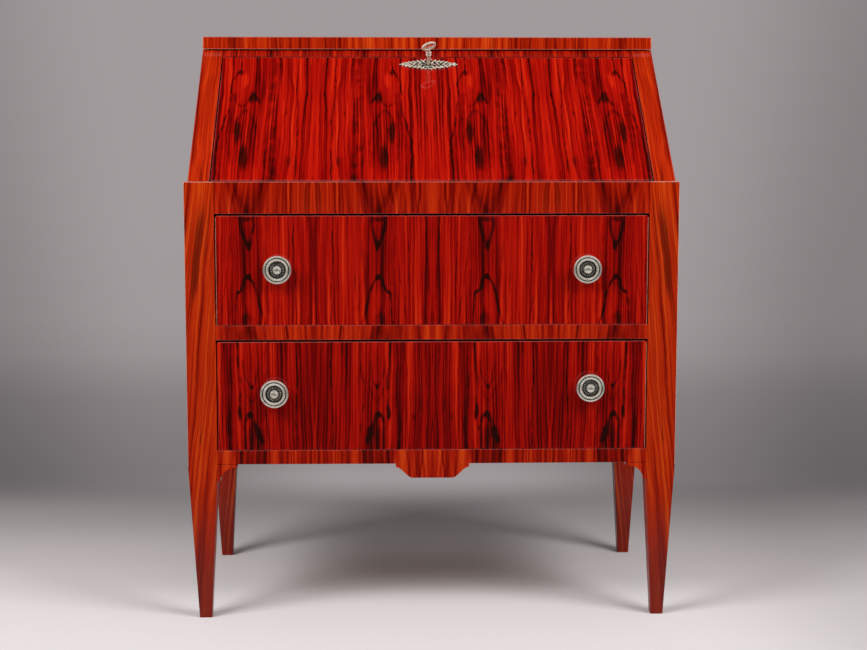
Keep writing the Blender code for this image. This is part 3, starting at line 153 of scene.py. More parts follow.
def join_axes(tree, x, y, z=0.0):
    """Three numbers as one vector."""
    node = tree.nodes.new("ShaderNodeCombineXYZ")
    for socket, value in zip(node.inputs, (x, y, z)):
        feed(tree, socket, value)
    return node.outputs[0]


def split_axes(tree, vector):
    """The three numbers of a vector."""
    node = tree.nodes.new("ShaderNodeSeparateXYZ")
    feed(tree, node.inputs[0], vector)
    return node.outputs


def noise(tree, vector, detail=2.0, roughness=0.5):
    """Soft noise from 0 to 1 with features one unit wide."""
    node = tree.nodes.new("ShaderNodeTexNoise")
    feed(tree, node.inputs["Vector"], vector)
    node.inputs["Scale"].default_value = 1.0
    node.inputs["Detail"].default_value = detail
    node.inputs["Roughness"].default_value = roughness
    return node.outputs[0]


def step_between(tree, value, low, high, start=0.0, end=1.0):
    """A smooth step from one value to another as the input passes between two limits."""
    node = tree.nodes.new("ShaderNodeMapRange")
    node.interpolation_type = "SMOOTHSTEP"
    for name, number in (("Value", value), ("From Min", low), ("From Max", high),
                         ("To Min", start), ("To Max", end)):
        feed(tree, node.inputs[name], number)
    return node.outputs[0]


def ramp(tree, value, stops):
    """A colour ramp with its stops given as (place, colour)."""
    node = tree.nodes.new("ShaderNodeValToRGB")
    feed(tree, node.inputs[0], value)
    elements = node.color_ramp.elements
    while len(elements) < len(stops):
        elements.new(1.0)
    for element, (place, colour) in zip(elements, stops):
        element.position = place
        element.color = (*colour, 1.0)
    return node.outputs[0]


def blend_colour(tree, share, first, second, kind="MIX"):
    """Two colours mixed by a share."""
    node = tree.nodes.new("ShaderNodeMix")
    node.data_type = "RGBA"
    node.blend_type = kind
    feed(tree, node.inputs["Factor"], share)
    feed(tree, node.inputs["A"], first)
    feed(tree, node.inputs["B"], second)
    return node.outputs["Result"]


def new_group(name, inputs, outputs):
    """An empty node group with its sockets; inputs are (name, kind, value)."""
    tree = bpy.data.node_groups.new(name, "ShaderNodeTree")
    for label, kind, value in inputs:
        socket = tree.interface.new_socket(label, in_out="INPUT", socket_type=f"NodeSocket{kind}")
        if value is not None:
            socket.default_value = value
    for label, kind in outputs:
        tree.interface.new_socket(label, in_out="OUTPUT", socket_type=f"NodeSocket{kind}")
    source = tree.nodes.new("NodeGroupInput").outputs
    sink = tree.nodes.new("NodeGroupOutput").inputs
    return tree, source, sink


def use_group(tree, group, **values):
    """Place a node group and give its inputs; an input's name may be written with underscores."""
    node = tree.nodes.new("ShaderNodeGroup")
    node.node_tree = group
    for name, value in values.items():
        feed(tree, node.inputs[name.replace("_", " ")], value)
    return node.outputs


def new_material(name, **constants):
    """A material with its shader; constants are set on the shader's own sockets."""
    material = bpy.data.materials.new(name)
    material.use_nodes = True
    shader = material.node_tree.nodes["Principled BSDF"]
    for label, value in constants.items():
        shader.inputs[label.replace("_", " ")].default_value = value
    return material, material.node_tree, shader.inputs


def add_bump(tree, height, strength, distance, shader):
    """Let a height show as relief in the shading."""
    bump = tree.nodes.new("ShaderNodeBump")
    bump.inputs["Strength"].default_value = strength
    bump.inputs["Distance"].default_value = distance
    tree.links.new(height, bump.inputs["Height"])
    tree.links.new(bump.outputs[0], shader["Normal"])


print("node helpers ready")

# %% [markdown]
# ## The figure of the veneer
#
# A veneer leaf is sliced from a log, so it shows the growth rings where the knife cut them. Where
# the cut runs along the rings it leaves straight stripes, and where it grazes the curve of a ring
# it leaves tents, hairpins and eyes. The joiner turned every other leaf over like the page of a
# book, which makes the stripes mirror each other at each joint.
#
# The figure could be painted as an image. It is built from the way it comes about instead: the
# distance across the leaf is folded at each joint, then turned into a distance from the heart of
# the log, `sqrt(run² + depth²)`. All stripes are noises of that one distance, so they bend
# together, as in wood. The rails are cut close to the heart and show how the rings curve there.
# For the other boards the heart lies three metres aside, which leaves straight stripes, and the
# marks of the next step draw their tents and eyes.
#
# A layer of noise is written as five numbers: how many features go to a metre across and along
# the grain, a place of its own in the noise, its detail, and how far it sways.

# %% Veneer figure as a node group
LEAF = 0.2
RING_LIMIT = 0.12
RING_STOPS = ((0.0, 0.20), (0.028, 0.22), (0.052, 0.46), (0.09, 0.60), (0.15, 0.47), (0.20, 0.42),
              (0.240, 0.36), (0.257, 0.16), (0.270, 0.13), (0.290, 0.44), (0.36, 0.70), (0.43, 0.52),
              (0.50, 0.60), (0.604, 0.58), (0.612, 0.16), (0.620, 0.16), (0.630, 0.58), (0.76, 0.64),
              (0.87, 0.58), (1.0, 0.62))
RING_MIDDLE = 0.55
TONE_MIDDLE = 0.52
CALM_SHARE = 0.35
SLOW_STRAY = (7.0, 3.0, 0.0, 2.0, 0.016)
QUICK_STRAY = (40.0, 11.0, 1.0, 2.0, 0.0045)
HEART_STRAY = (1.0, 9.0, 2.0, 1.0, 0.012)
DEPTH_STRAY = (26.0, 15.0, 3.0, 2.0, 0.008)
RING_RIPPLE = (85.0, 30.0, 4.0, 3.0, 0.0042)
BROAD_STRIPES = (70.0, 1.6, 5.0, 2.0, 1.05)
STREAKS = (240.0, 2.6, 7.0, 3.0, 1.25)
THREADS = (620.0, 5.0, 8.0, 2.0, 0.75)
HAIRS = (1500.0, 16.0, 9.0, 2.0, 0.35)
LINE_RIDGES = (96.0, 1.6, 12.0, 1.0, 1.0)
LINE_BREAKS = (40.0, 4.0, 15.0, 2.0, 1.0)
LINE_WIDTH = (0.003, 0.022, 1.0, 0.0)
LINE_FADE = (0.46, 0.62)


def build_figure_group():
    """How light each point of a veneered face is, and where its black lines run."""
    tree, source, sink = new_group(
        "veneer figure",
        [("Across", "Float", 0.0), ("Along", "Float", 0.0), ("Leaf", "Float", LEAF),
         ("Heart", "Float", 0.0), ("Depth", "Float", 0.0), ("Swing", "Float", 0.0),
         ("Pitch", "Float", 1.0), ("Phase", "Float", 0.0), ("Seed", "Float", 0.0),
         ("Ring share", "Float", 1.0), ("Contrast", "Float", 1.0)],
        [("Tone", "Float"), ("Line", "Float"), ("Hair", "Float")])
    along, seed = source["Along"], source["Seed"]

    def grain_noise(across, layer):
        """Noise drawn out along the grain."""
        wide, long, place, detail, _ = layer
        return noise(tree, join_axes(tree, calc(tree, "MULTIPLY", across, wide),
                                     calc(tree, "MULTIPLY", along, long),
                                     calc(tree, "ADD", seed, place)), detail)

    def signed(value, size):
        """A noise moved to either side of zero."""
        return calc(tree, "MULTIPLY", calc(tree, "SUBTRACT", value, 0.5), size)

    def sway(across, layer):
        """A layer of noise that goes to either side of zero as far as its last number says."""
        return signed(grain_noise(across, layer), layer[-1])

    fold = calc(tree, "PINGPONG", source["Across"], source["Leaf"])
    stray = calc(tree, "ADD", fold, sway(fold, SLOW_STRAY))
    stray = calc(tree, "ADD", stray, sway(fold, QUICK_STRAY))
    run = calc(tree, "SUBTRACT", calc(tree, "SUBTRACT", stray, source["Heart"]),
               sway(0.0, HEART_STRAY))
    turn = calc(tree, "DIVIDE", calc(tree, "SUBTRACT", along, source["Phase"]), source["Pitch"])
    wave = calc(tree, "SINE", calc(tree, "MULTIPLY", turn, math.tau))
    depth = calc(tree, "ADD", source["Depth"], calc(tree, "MULTIPLY", wave, source["Swing"]))
    depth = calc(tree, "ADD", depth, sway(fold, DEPTH_STRAY))
    ring = calc(tree, "SQRT", calc(tree, "ADD", calc(tree, "MULTIPLY", run, run),
                                   calc(tree, "MULTIPLY", depth, depth)))
    ring = calc(tree, "ADD", ring, sway(fold, RING_RIPPLE))

    profile = ramp(tree, calc(tree, "DIVIDE", ring, RING_LIMIT),
                   [(place, (value,) * 3) for place, value in RING_STOPS])
    profile = calc(tree, "MULTIPLY", calc(tree, "SUBTRACT", profile, RING_MIDDLE),
                   source["Ring share"])
    calm = calc(tree, "ADD", calc(tree, "MULTIPLY", ring, CALM_SHARE),
                calc(tree, "MULTIPLY", stray, 1.0 - CALM_SHARE))
    hair = grain_noise(calm, HAIRS)
    stripes = calc(tree, "ADD", calc(tree, "ADD", sway(ring, BROAD_STRIPES), sway(calm, STREAKS)),
                   calc(tree, "ADD", sway(calm, THREADS), signed(hair, HAIRS[-1])))
    stripes = calc(tree, "MULTIPLY", stripes, source["Contrast"])
    tone = calc(tree, "ADD", calc(tree, "ADD", profile, TONE_MIDDLE), stripes, clamp=True)

    line = step_between(tree, calc(tree, "ABSOLUTE", sway(calm, LINE_RIDGES)), *LINE_WIDTH)
    fade = step_between(tree, grain_noise(calm, LINE_BREAKS), *LINE_FADE)
    tree.links.new(tone, sink["Tone"])
    tree.links.new(calc(tree, "MULTIPLY", line, fade), sink["Line"])
    tree.links.new(hair, sink["Hair"])
    return tree


figure_group = build_figure_group()
print("figure group nodes:", len(figure_group.nodes))

# %% [markdown]
# ## Marks that the noise can't draw
#
# The stripes of the noise are a good average, but a leaf also has marks of its own: a black line
# that wanders up its length, the dark outline of a tent, the core of an eye, a knot. They repeat in
# mirror image on every leaf of a face, so each is described once, in metres across and up the leaf.
#
# A line is a strength, half a width, the heights where it starts and ends, and a path of a few
# points, each a height and a distance across. A spot is a soft oval: a strength, which is below
# zero for a light one, its middle across and up, and half its width and height. Noise shakes the
# marks and thins the lines out here and there, so that they look drawn by the wood.

# %% Marks of the fall and the drawer fronts
FALL_MARKS_HEIGHT = 0.30
FRONT_MARKS_HEIGHT = 0.19
FALL_LINES = (
    (0.95, 0.0015, 0.0, 0.30, ((0.0, 0.036), (0.056, 0.034), (0.09, 0.034), (0.121, 0.040),
                               (0.17, 0.048), (0.215, 0.050), (0.254, 0.050), (0.271, 0.056),
                               (0.296, 0.065))),
    (0.40, 0.0050, 0.0, 0.225, ((0.0, 0.044), (0.056, 0.042), (0.12, 0.047), (0.17, 0.057),
                                (0.225, 0.060))),
    (0.66, 0.0066, 0.0, 0.30, ((0.0, 0.130), (0.07, 0.124), (0.135, 0.128), (0.215, 0.124),
                               (0.296, 0.128))),
    (0.60, 0.0012, 0.0, 0.30, ((0.0, 0.119), (0.08, 0.116), (0.16, 0.119), (0.296, 0.116))),
    (0.90, 0.0010, 0.0, 0.30, ((0.0, 0.170), (0.147, 0.171), (0.226, 0.165), (0.296, 0.167))),
    (0.55, 0.0010, 0.0, 0.18, ((0.0, 0.143), (0.10, 0.141), (0.18, 0.150))),
    (0.45, 0.0009, 0.02, 0.30, ((0.0, 0.022), (0.11, 0.020), (0.226, 0.024), (0.296, 0.026))),
    (0.42, 0.0028, 0.03, 0.18, ((0.03, 0.060), (0.09, 0.055), (0.147, 0.063), (0.18, 0.078))),
    (0.42, 0.0028, 0.02, 0.18, ((0.02, 0.101), (0.09, 0.104), (0.147, 0.096), (0.18, 0.080))),
    (0.62, 0.0026, 0.186, 0.222, ((0.186, 0.070), (0.194, 0.064), (0.206, 0.060), (0.222, 0.057))),
    (0.62, 0.0026, 0.186, 0.217, ((0.186, 0.074), (0.194, 0.080), (0.206, 0.084), (0.217, 0.087))),
    (0.62, 0.0026, 0.194, 0.222, ((0.194, 0.103), (0.206, 0.098), (0.215, 0.094), (0.222, 0.090))))
FALL_SPOTS = (
    (0.95, 0.066, 0.284, 0.0060, 0.012), (0.90, 0.185, 0.221, 0.0024, 0.008),
    (0.55, 0.150, 0.167, 0.0020, 0.007), (0.62, 0.067, 0.116, 0.0080, 0.042),
    (0.60, 0.081, 0.046, 0.0105, 0.045), (0.58, 0.089, 0.213, 0.0095, 0.024),
    (0.42, 0.080, 0.100, 0.0280, 0.125), (0.36, 0.098, 0.243, 0.0200, 0.060),
    (-0.90, 0.0745, 0.262, 0.0056, 0.030), (-0.40, 0.028, 0.100, 0.0045, 0.140),
    (-0.40, 0.140, 0.145, 0.0060, 0.160))
UPPER_LINES = (
    (0.90, 0.0017, 0.0, 0.083, ((0.0, 0.068), (0.035, 0.0695), (0.052, 0.0717), (0.057, 0.079),
                                (0.066, 0.0815), (0.076, 0.0835), (0.083, 0.0905))),
    (0.90, 0.0017, 0.0, 0.083, ((0.0, 0.119), (0.0285, 0.110), (0.056, 0.105), (0.073, 0.0978),
                                (0.083, 0.0925))),
    (0.75, 0.0022, 0.128, 0.19, ((0.128, 0.0925), (0.158, 0.0816), (0.176, 0.078), (0.19, 0.078))),
    (0.75, 0.0022, 0.128, 0.19, ((0.128, 0.0935), (0.154, 0.100), (0.168, 0.102), (0.19, 0.101))),
    (0.92, 0.0009, 0.0, 0.19, ((0.0, 0.170), (0.06, 0.170), (0.12, 0.167), (0.19, 0.168))),
    (0.45, 0.0008, 0.0, 0.19, ((0.0, 0.189), (0.10, 0.187), (0.19, 0.190))),
    (0.45, 0.0010, 0.0, 0.07, ((0.0, 0.147), (0.03, 0.143), (0.07, 0.138))),
    (0.60, 0.0010, 0.0, 0.15, ((0.0, 0.042), (0.06, 0.0516), (0.10, 0.057), (0.15, 0.0615))),
    (0.65, 0.0008, 0.0, 0.14, ((0.0, 0.037), (0.07, 0.039), (0.14, 0.0417))),
    (0.50, 0.0012, 0.0, 0.16, ((0.0, 0.002), (0.08, 0.006), (0.16, 0.0107))),
    (0.40, 0.0050, 0.02, 0.19, ((0.0, 0.126), (0.05, 0.121), (0.12, 0.117), (0.19, 0.116))),
    (0.35, 0.0030, 0.0, 0.19, ((0.0, 0.060), (0.08, 0.066), (0.19, 0.070))))
UPPER_SPOTS = (
    (0.85, 0.0915, 0.080, 0.0060, 0.0065), (0.75, 0.074, 0.0545, 0.0055, 0.0050),
    (0.62, 0.093, 0.132, 0.0038, 0.012), (0.65, 0.088, 0.006, 0.0150, 0.020),
    (0.60, 0.090, 0.177, 0.0110, 0.006), (0.32, 0.093, 0.100, 0.0300, 0.100),
    (-0.40, 0.089, 0.045, 0.0090, 0.022), (-0.30, 0.150, 0.090, 0.0080, 0.150))
LOWER_LINES = (
    (0.90, 0.0024, 0.03, 0.19, ((0.03, 0.079), (0.053, 0.0742), (0.08, 0.0738), (0.11, 0.0765),
                                (0.142, 0.0735), (0.19, 0.069))),
    (0.72, 0.0018, 0.0, 0.19, ((0.0, 0.124), (0.033, 0.1205), (0.0675, 0.118), (0.11, 0.1165),
                               (0.132, 0.120), (0.19, 0.118))),
    (0.85, 0.0026, 0.034, 0.060, ((0.034, 0.080), (0.050, 0.0848), (0.060, 0.090))),
    (0.85, 0.0030, 0.008, 0.060, ((0.008, 0.112), (0.026, 0.1055), (0.045, 0.0985), (0.060, 0.0925))),
    (0.50, 0.0018, 0.104, 0.15, ((0.104, 0.0935), (0.115, 0.086), (0.13, 0.0825), (0.15, 0.081))),
    (0.50, 0.0018, 0.104, 0.15, ((0.104, 0.0955), (0.115, 0.101), (0.13, 0.104), (0.15, 0.106))),
    (0.34, 0.0020, 0.078, 0.104, ((0.078, 0.0945), (0.088, 0.087), (0.104, 0.083))),
    (0.34, 0.0020, 0.078, 0.104, ((0.078, 0.0965), (0.088, 0.102), (0.104, 0.106))),
    (0.90, 0.0010, 0.0, 0.19, ((0.0, 0.169), (0.05, 0.168), (0.10, 0.171), (0.19, 0.172))),
    (0.55, 0.0011, 0.0, 0.19, ((0.0, 0.041), (0.07, 0.046), (0.12, 0.043), (0.19, 0.049))),
    (0.50, 0.0010, 0.0, 0.19, ((0.0, 0.010), (0.09, 0.008), (0.19, 0.012))),
    (0.45, 0.0040, 0.0, 0.19, ((0.0, 0.058), (0.09, 0.061), (0.19, 0.060))))
LOWER_SPOTS = (
    (0.80, 0.0745, 0.060, 0.0048, 0.016), (0.80, 0.092, 0.057, 0.0068, 0.0068),
    (0.62, 0.094, 0.008, 0.0270, 0.040), (0.75, 0.104, 0.026, 0.0060, 0.014),
    (0.45, 0.034, 0.052, 0.0060, 0.011), (0.65, 0.094, 0.104, 0.0040, 0.0060),
    (0.25, 0.095, 0.100, 0.0260, 0.100), (-0.28, 0.150, 0.090, 0.0090, 0.150))
SLOW_SHAKE = (12.0, 24.0, 2.0, 0.007)
QUICK_SHAKE = (240.0, 110.0, 4.0, 0.0028)
RISE_SHAKE = (180.0, 60.0, 6.0, 0.006)
THIN_PLACES = (60.0, 45.0, 8.0, 1.0)
THINNING = (-0.16, 0.10, 0.45, 1.0)
CORE_SHARE = 0.1
RIM_SHARE = 2.3
START_FADE = (0.003, 0.002)
END_FADE = 0.004


def build_marks_group(name, height, lines, spots):
    """How dark (above zero) or light (below zero) the marks of one face make each point."""
    tree, source, sink = new_group(
        name, [("Across", "Float", 0.0), ("Along", "Float", 0.0), ("Base", "Float", 0.0)],
        [("Mark", "Float")])
    fold = calc(tree, "PINGPONG", source["Across"], LEAF)
    rise = calc(tree, "SUBTRACT", source["Along"], source["Base"])

    def shaken(across_scale, along_scale, offset, size):
        """A number that goes to either side of zero from place to place."""
        place = join_axes(tree, calc(tree, "MULTIPLY", source["Across"], across_scale),
                          calc(tree, "MULTIPLY", rise, along_scale), offset)
        return calc(tree, "MULTIPLY", calc(tree, "SUBTRACT", noise(tree, place), 0.5), size)

    across = calc(tree, "ADD", fold, calc(tree, "ADD", shaken(*SLOW_SHAKE), shaken(*QUICK_SHAKE)))
    along = calc(tree, "ADD", rise, shaken(*RISE_SHAKE))
    share = calc(tree, "DIVIDE", rise, height)
    total = 0.0
    for strength, half, low, high, points in lines:
        path = ramp(tree, share, [(up / height, (aside / LEAF,) * 3) for up, aside in points])
        gap = calc(tree, "SUBTRACT", across, calc(tree, "MULTIPLY", path, LEAF))
        mask = step_between(tree, calc(tree, "ABSOLUTE", gap), CORE_SHARE * half, RIM_SHARE * half,
                            strength, 0.0)
        if low > 0.0:
            start = step_between(tree, along, low - START_FADE[0], low + START_FADE[1])
            mask = calc(tree, "MULTIPLY", mask, start)
        if high < height:
            end = step_between(tree, along, high - END_FADE, high + END_FADE, 1.0, 0.0)
            mask = calc(tree, "MULTIPLY", mask, end)
        total = calc(tree, "MAXIMUM", total, mask)
    thinned = step_between(tree, shaken(*THIN_PLACES), *THINNING)
    total = calc(tree, "MULTIPLY", total, thinned)
    for strength, aside, up, half_width, half_height in spots:
        gaps = (calc(tree, "DIVIDE", calc(tree, "SUBTRACT", across, aside), half_width),
                calc(tree, "DIVIDE", calc(tree, "SUBTRACT", along, up), half_height))
        reach = calc(tree, "ADD", *(calc(tree, "MULTIPLY", gap, gap) for gap in gaps))
        mask = step_between(tree, reach, 0.0, 1.0, abs(strength), 0.0)
        total = calc(tree, "ADD" if strength > 0 else "SUBTRACT", total, mask)
    tree.links.new(total, sink["Mark"])
    return tree


fall_marks = build_marks_group("fall marks", FALL_MARKS_HEIGHT, FALL_LINES, FALL_SPOTS)
upper_marks = build_marks_group("upper front marks", FRONT_MARKS_HEIGHT, UPPER_LINES, UPPER_SPOTS)
lower_marks = build_marks_group("lower front marks", FRONT_MARKS_HEIGHT, LOWER_LINES, LOWER_SPOTS)
print("mark nodes:", [len(group.nodes) for group in (fall_marks, upper_marks, lower_marks)])

# %% [markdown]
# ## Lacquer that has lived, and painted highlights
#
# Thick lacquer is nearly a mirror, but it thins at the edges: hands and dusters rub the arrises
# down to pale, dull wood, and a round arris also catches the light in a thin bright line. Both are
# painted with one pale colour. Each rounded edge that shows a pale line in the photograph carries a
# value on its faces that stands for wear and painted highlight together, and this group breaks that
# value up with noise, so that it looks like chips, rubbed stretches and broken glints and not like a
# drawn line.

# %% Worn arris group
# The pale colour is partly bare wood where the lacquer is rubbed through and partly a painted highlight
# of the arris.
PALE_WOOD_AND_HIGHLIGHT = (0.80, 0.46, 0.34, 1.0)
PALE_PATCHES_PER_METRE = 95.0
PALE_PATCH_EDGE = (0.34, 0.58)
LEAST_WEAR_AND_HIGHLIGHT_SHARE = 0.55
LACQUER_LOSS = 0.4


def scale_vector(tree, vector, size):
    """A vector made longer or shorter."""
    node = tree.nodes.new("ShaderNodeVectorMath")
    node.operation = "SCALE"
    feed(tree, node.inputs[0], vector)
    feed(tree, node.inputs["Scale"], size)
    return node.outputs[0]


def build_wear_and_highlight_group():
    """A veneer colour turned pale where the value of wear and painted highlight says, and how much
    lacquer is left.
    """
    tree, source, sink = new_group(
        "rubbed arris and painted highlight",
        [("Color", "Color", None), ("Wear", "Float", 0.0), ("Place", "Vector", None)],
        [("Color", "Color"), ("Lacquer", "Float")])
    pale_patches = noise(tree, scale_vector(tree, source["Place"], PALE_PATCHES_PER_METRE), 3.0, 0.65)
    reach = step_between(tree, pale_patches, *PALE_PATCH_EDGE, LEAST_WEAR_AND_HIGHLIGHT_SHARE, 1.0)
    share = calc(tree, "MULTIPLY", source["Wear"], reach, clamp=True)
    left = calc(tree, "SUBTRACT", 1.0, calc(tree, "MULTIPLY", share, LACQUER_LOSS))
    tree.links.new(blend_colour(tree, share, source["Color"], PALE_WOOD_AND_HIGHLIGHT), sink["Color"])
    tree.links.new(left, sink["Lacquer"])
    return tree


wear_and_highlight_group = build_wear_and_highlight_group()
print("wear group nodes:", len(wear_and_highlight_group.nodes))

# %% [markdown]
# ## The veneer finishes
#
# All outside faces share the figure, with their own leaf, log and colours. The fall shows pairs of
# eyes. The drawer fronts show dark tents that stand on their lower edge. Rails, stiles and legs are
# cut from plainer, more orange leaves, and the feet of the legs have lost most of their lacquer. The
# legs are also painted darker towards the floor, as painted shade where less light reaches them.
# Each board carries a map named `grain`, in metres, whose second coordinate runs along its grain,
# and the finish reads the figure from it. A mark is drawn twice: it takes the veneer's colour down
# to a darker stripe, and where it is strong it turns nearly black.

# %% Veneer materials
DEEP_STOPS = ((0.0, (0.022, 0.0006, 0.0004)), (0.22, (0.130, 0.0006, 0.0004)),
              (0.45, (0.315, 0.0018, 0.0006)), (0.68, (0.500, 0.0062, 0.0012)),
              (0.86, (0.630, 0.0150, 0.0022)), (1.0, (0.720, 0.0340, 0.0040)))
WARM_STOPS = ((0.0, (0.040, 0.0020, 0.0006)), (0.22, (0.190, 0.0045, 0.0008)),
              (0.45, (0.370, 0.0115, 0.0010)), (0.68, (0.540, 0.0250, 0.0018)),
              (0.86, (0.640, 0.0430, 0.0030)), (1.0, (0.730, 0.0770, 0.0060)))
MID_STOPS = ((0.0, (0.030, 0.0010, 0.0005)), (0.22, (0.140, 0.0020, 0.0006)),
             (0.45, (0.310, 0.0060, 0.0009)), (0.68, (0.490, 0.0160, 0.0018)),
             (0.86, (0.610, 0.0300, 0.0030)), (1.0, (0.710, 0.0550, 0.0050)))
LINE_COLOUR = (0.016, 0.0012, 0.0008, 1.0)
MARK_COLOUR = (0.020, 0.0022, 0.0010, 1.0)
FOOT_TOP = 0.2694
FOOT_FADE = 0.002
FOOT_COAT_REACH = (0.04, FOOT_TOP - 0.02)
FOOT_COAT_TOP = 0.03
FOOT_PAINTED_SHADE_LOW = 0.02
MARK_ON_TONE = (0.2, 0.9, 1.12, 0.72)
MARK_DEPTH = 0.36
MARK_BLACK = (0.25, 1.05, 0.0, 0.9)
HAIR_ROUGHNESS = (0.3, 0.7, 0.30, 0.46)
FAR_HEART = -3.0
UNFOLDED_LEAF = 9.0
FALL_MARKS_BASE = -0.034
UPPER_MARKS_BASE = 0.5105
LOWER_MARKS_BASE = 0.2995


def build_veneer(name, stops, line_share, marks=None, base=0.0, skew=0.0, foot_lacquer=1.0,
                 foot_painted_shade=1.0, lacquer=1.0, lift=0.0, **figure):
    """A lacquered veneer that reads the figure from the board's grain map."""
    material, tree, shader = new_material(
        name, Roughness=0.38, Specular_IOR_Level=0.04, Coat_Weight=1.0, Coat_Roughness=0.018,
        Coat_IOR=1.6)
    grain = tree.nodes.new("ShaderNodeUVMap")
    grain.uv_map = "grain"
    across, along, _ = split_axes(tree, grain.outputs[0])
    if skew:
        lean = calc(tree, "MULTIPLY", along, skew)
        across = calc(tree, "ADD", across,
                      calc(tree, "MULTIPLY", calc(tree, "SIGN", across), lean))
    shown = use_group(tree, figure_group, Across=across, Along=along, **figure)
    tone = calc(tree, "ADD", shown["Tone"], lift, clamp=True)
    if marks:
        mark = use_group(tree, marks, Across=across, Along=along, Base=base)["Mark"]
        mark = calc(tree, "MULTIPLY", mark, step_between(tree, shown["Tone"], *MARK_ON_TONE))
        tone = calc(tree, "SUBTRACT", tone, calc(tree, "MULTIPLY", mark, MARK_DEPTH), clamp=True)
    dark = calc(tree, "MULTIPLY", shown["Line"], line_share)
    colour = blend_colour(tree, dark, ramp(tree, tone, stops), LINE_COLOUR)
    if marks:
        colour = blend_colour(tree, step_between(tree, mark, *MARK_BLACK), colour, MARK_COLOUR)
    # Painted shade: the colour of a leg darkens towards the floor, where less light reaches it.
    if foot_painted_shade < 1.0:
        shade = step_between(tree, along, FOOT_PAINTED_SHADE_LOW, FOOT_TOP, foot_painted_shade, 1.0)
        colour = blend_colour(tree, 1.0, colour, join_axes(tree, shade, shade, shade), "MULTIPLY")
    wear = tree.nodes.new("ShaderNodeAttribute")
    wear.attribute_name = "wear"
    place = tree.nodes.new("ShaderNodeTexCoord").outputs["Object"]
    worn_and_highlit = use_group(tree, wear_and_highlight_group, Color=colour, Wear=wear.outputs["Fac"], Place=place)
    tree.links.new(worn_and_highlit["Color"], shader["Base Color"])
    coat = calc(tree, "MULTIPLY", worn_and_highlit["Lacquer"], lacquer)
    if foot_lacquer < 1.0:
        foot = step_between(tree, along, FOOT_TOP - FOOT_FADE, FOOT_TOP, 1.0, 0.0)
        foot_coat = step_between(tree, along, *FOOT_COAT_REACH, foot_lacquer, FOOT_COAT_TOP)
        thin = calc(tree, "MULTIPLY", foot, calc(tree, "SUBTRACT", 1.0, foot_coat))
        coat = calc(tree, "MULTIPLY", coat, calc(tree, "SUBTRACT", 1.0, thin))
    tree.links.new(coat, shader["Coat Weight"])
    tree.links.new(step_between(tree, shown["Hair"], *HAIR_ROUGHNESS), shader["Roughness"])
    add_bump(tree, shown["Hair"], 0.05, 0.0002, shader)
    return material


STRAIGHT = {"Heart": FAR_HEART, "Ring_share": 0.0}
UNFOLDED = {**STRAIGHT, "Leaf": UNFOLDED_LEAF}
veneers = {
    "fall": build_veneer("fall_veneer", DEEP_STOPS, 0.6, fall_marks, FALL_MARKS_BASE, lift=0.01,
                         Seed=1.0, Contrast=1.2, **STRAIGHT),
    "upper": build_veneer("upper_front_veneer", DEEP_STOPS, 0.6, upper_marks, UPPER_MARKS_BASE,
                          lift=0.04, Seed=11.0, Contrast=1.25, **STRAIGHT),
    "lower": build_veneer("lower_front_veneer", DEEP_STOPS, 0.6, lower_marks, LOWER_MARKS_BASE,
                          lift=-0.03, Seed=23.0, Contrast=1.3, **STRAIGHT),
    "rail": build_veneer("rail_veneer", MID_STOPS, 0.6, lift=0.05, Heart=0.092, Depth=0.027,
                         Swing=0.012, Pitch=0.5, Phase=0.473, Seed=31.0, Ring_share=0.8,
                         Contrast=1.15),
    "head": build_veneer("head_rail_veneer", MID_STOPS, 0.7, lacquer=0.15, lift=-0.14, Seed=37.0,
                         Contrast=1.1, **STRAIGHT),
    "stile": build_veneer("stile_veneer", WARM_STOPS, 0.6, lift=0.05, Seed=43.0, Contrast=1.3,
                          **UNFOLDED),
    "leg": build_veneer("leg_veneer", WARM_STOPS, 0.6, lift=0.17, skew=0.10, foot_lacquer=0.26,
                        foot_painted_shade=0.50, Seed=43.0, Contrast=1.3, **UNFOLDED),
    "back_leg": build_veneer("back_leg_veneer", WARM_STOPS, 0.5, lift=0.14, skew=0.10,
                             foot_lacquer=0.36, foot_painted_shade=0.62, Seed=47.0, Contrast=1.6,
                             **UNFOLDED),
}
print("veneers:", sorted(veneers))

# %% [markdown]
# ## Plain woods
#
# Inside, the desk is not veneered: the writing board and the gallery are a satin red-brown wood,
# and the drawer linings and runners are bare and pale. Both have straight, fine grain with small
# dark pores, so one group draws it from the place in the wood, stretched along one axis.

# %% Straight grain group and its woods
BEND_PLACES = (6.0, 3.0)
BEND = 0.02
BROAD_GRAIN = (38.0, 1.5, 2.0)
FINE_GRAIN = (420.0, 9.0, 3.0)
PORE_GRAIN = (1500.0, 45.0, 0.0)
BROAD_SHARE = 1.1
FINE_GRAIN_SHARE = 0.8
PORE_EDGE = (0.60, 0.70)
PORE_SHARE = 0.45
PORE_COLOUR = (0.05, 0.018, 0.008, 1.0)


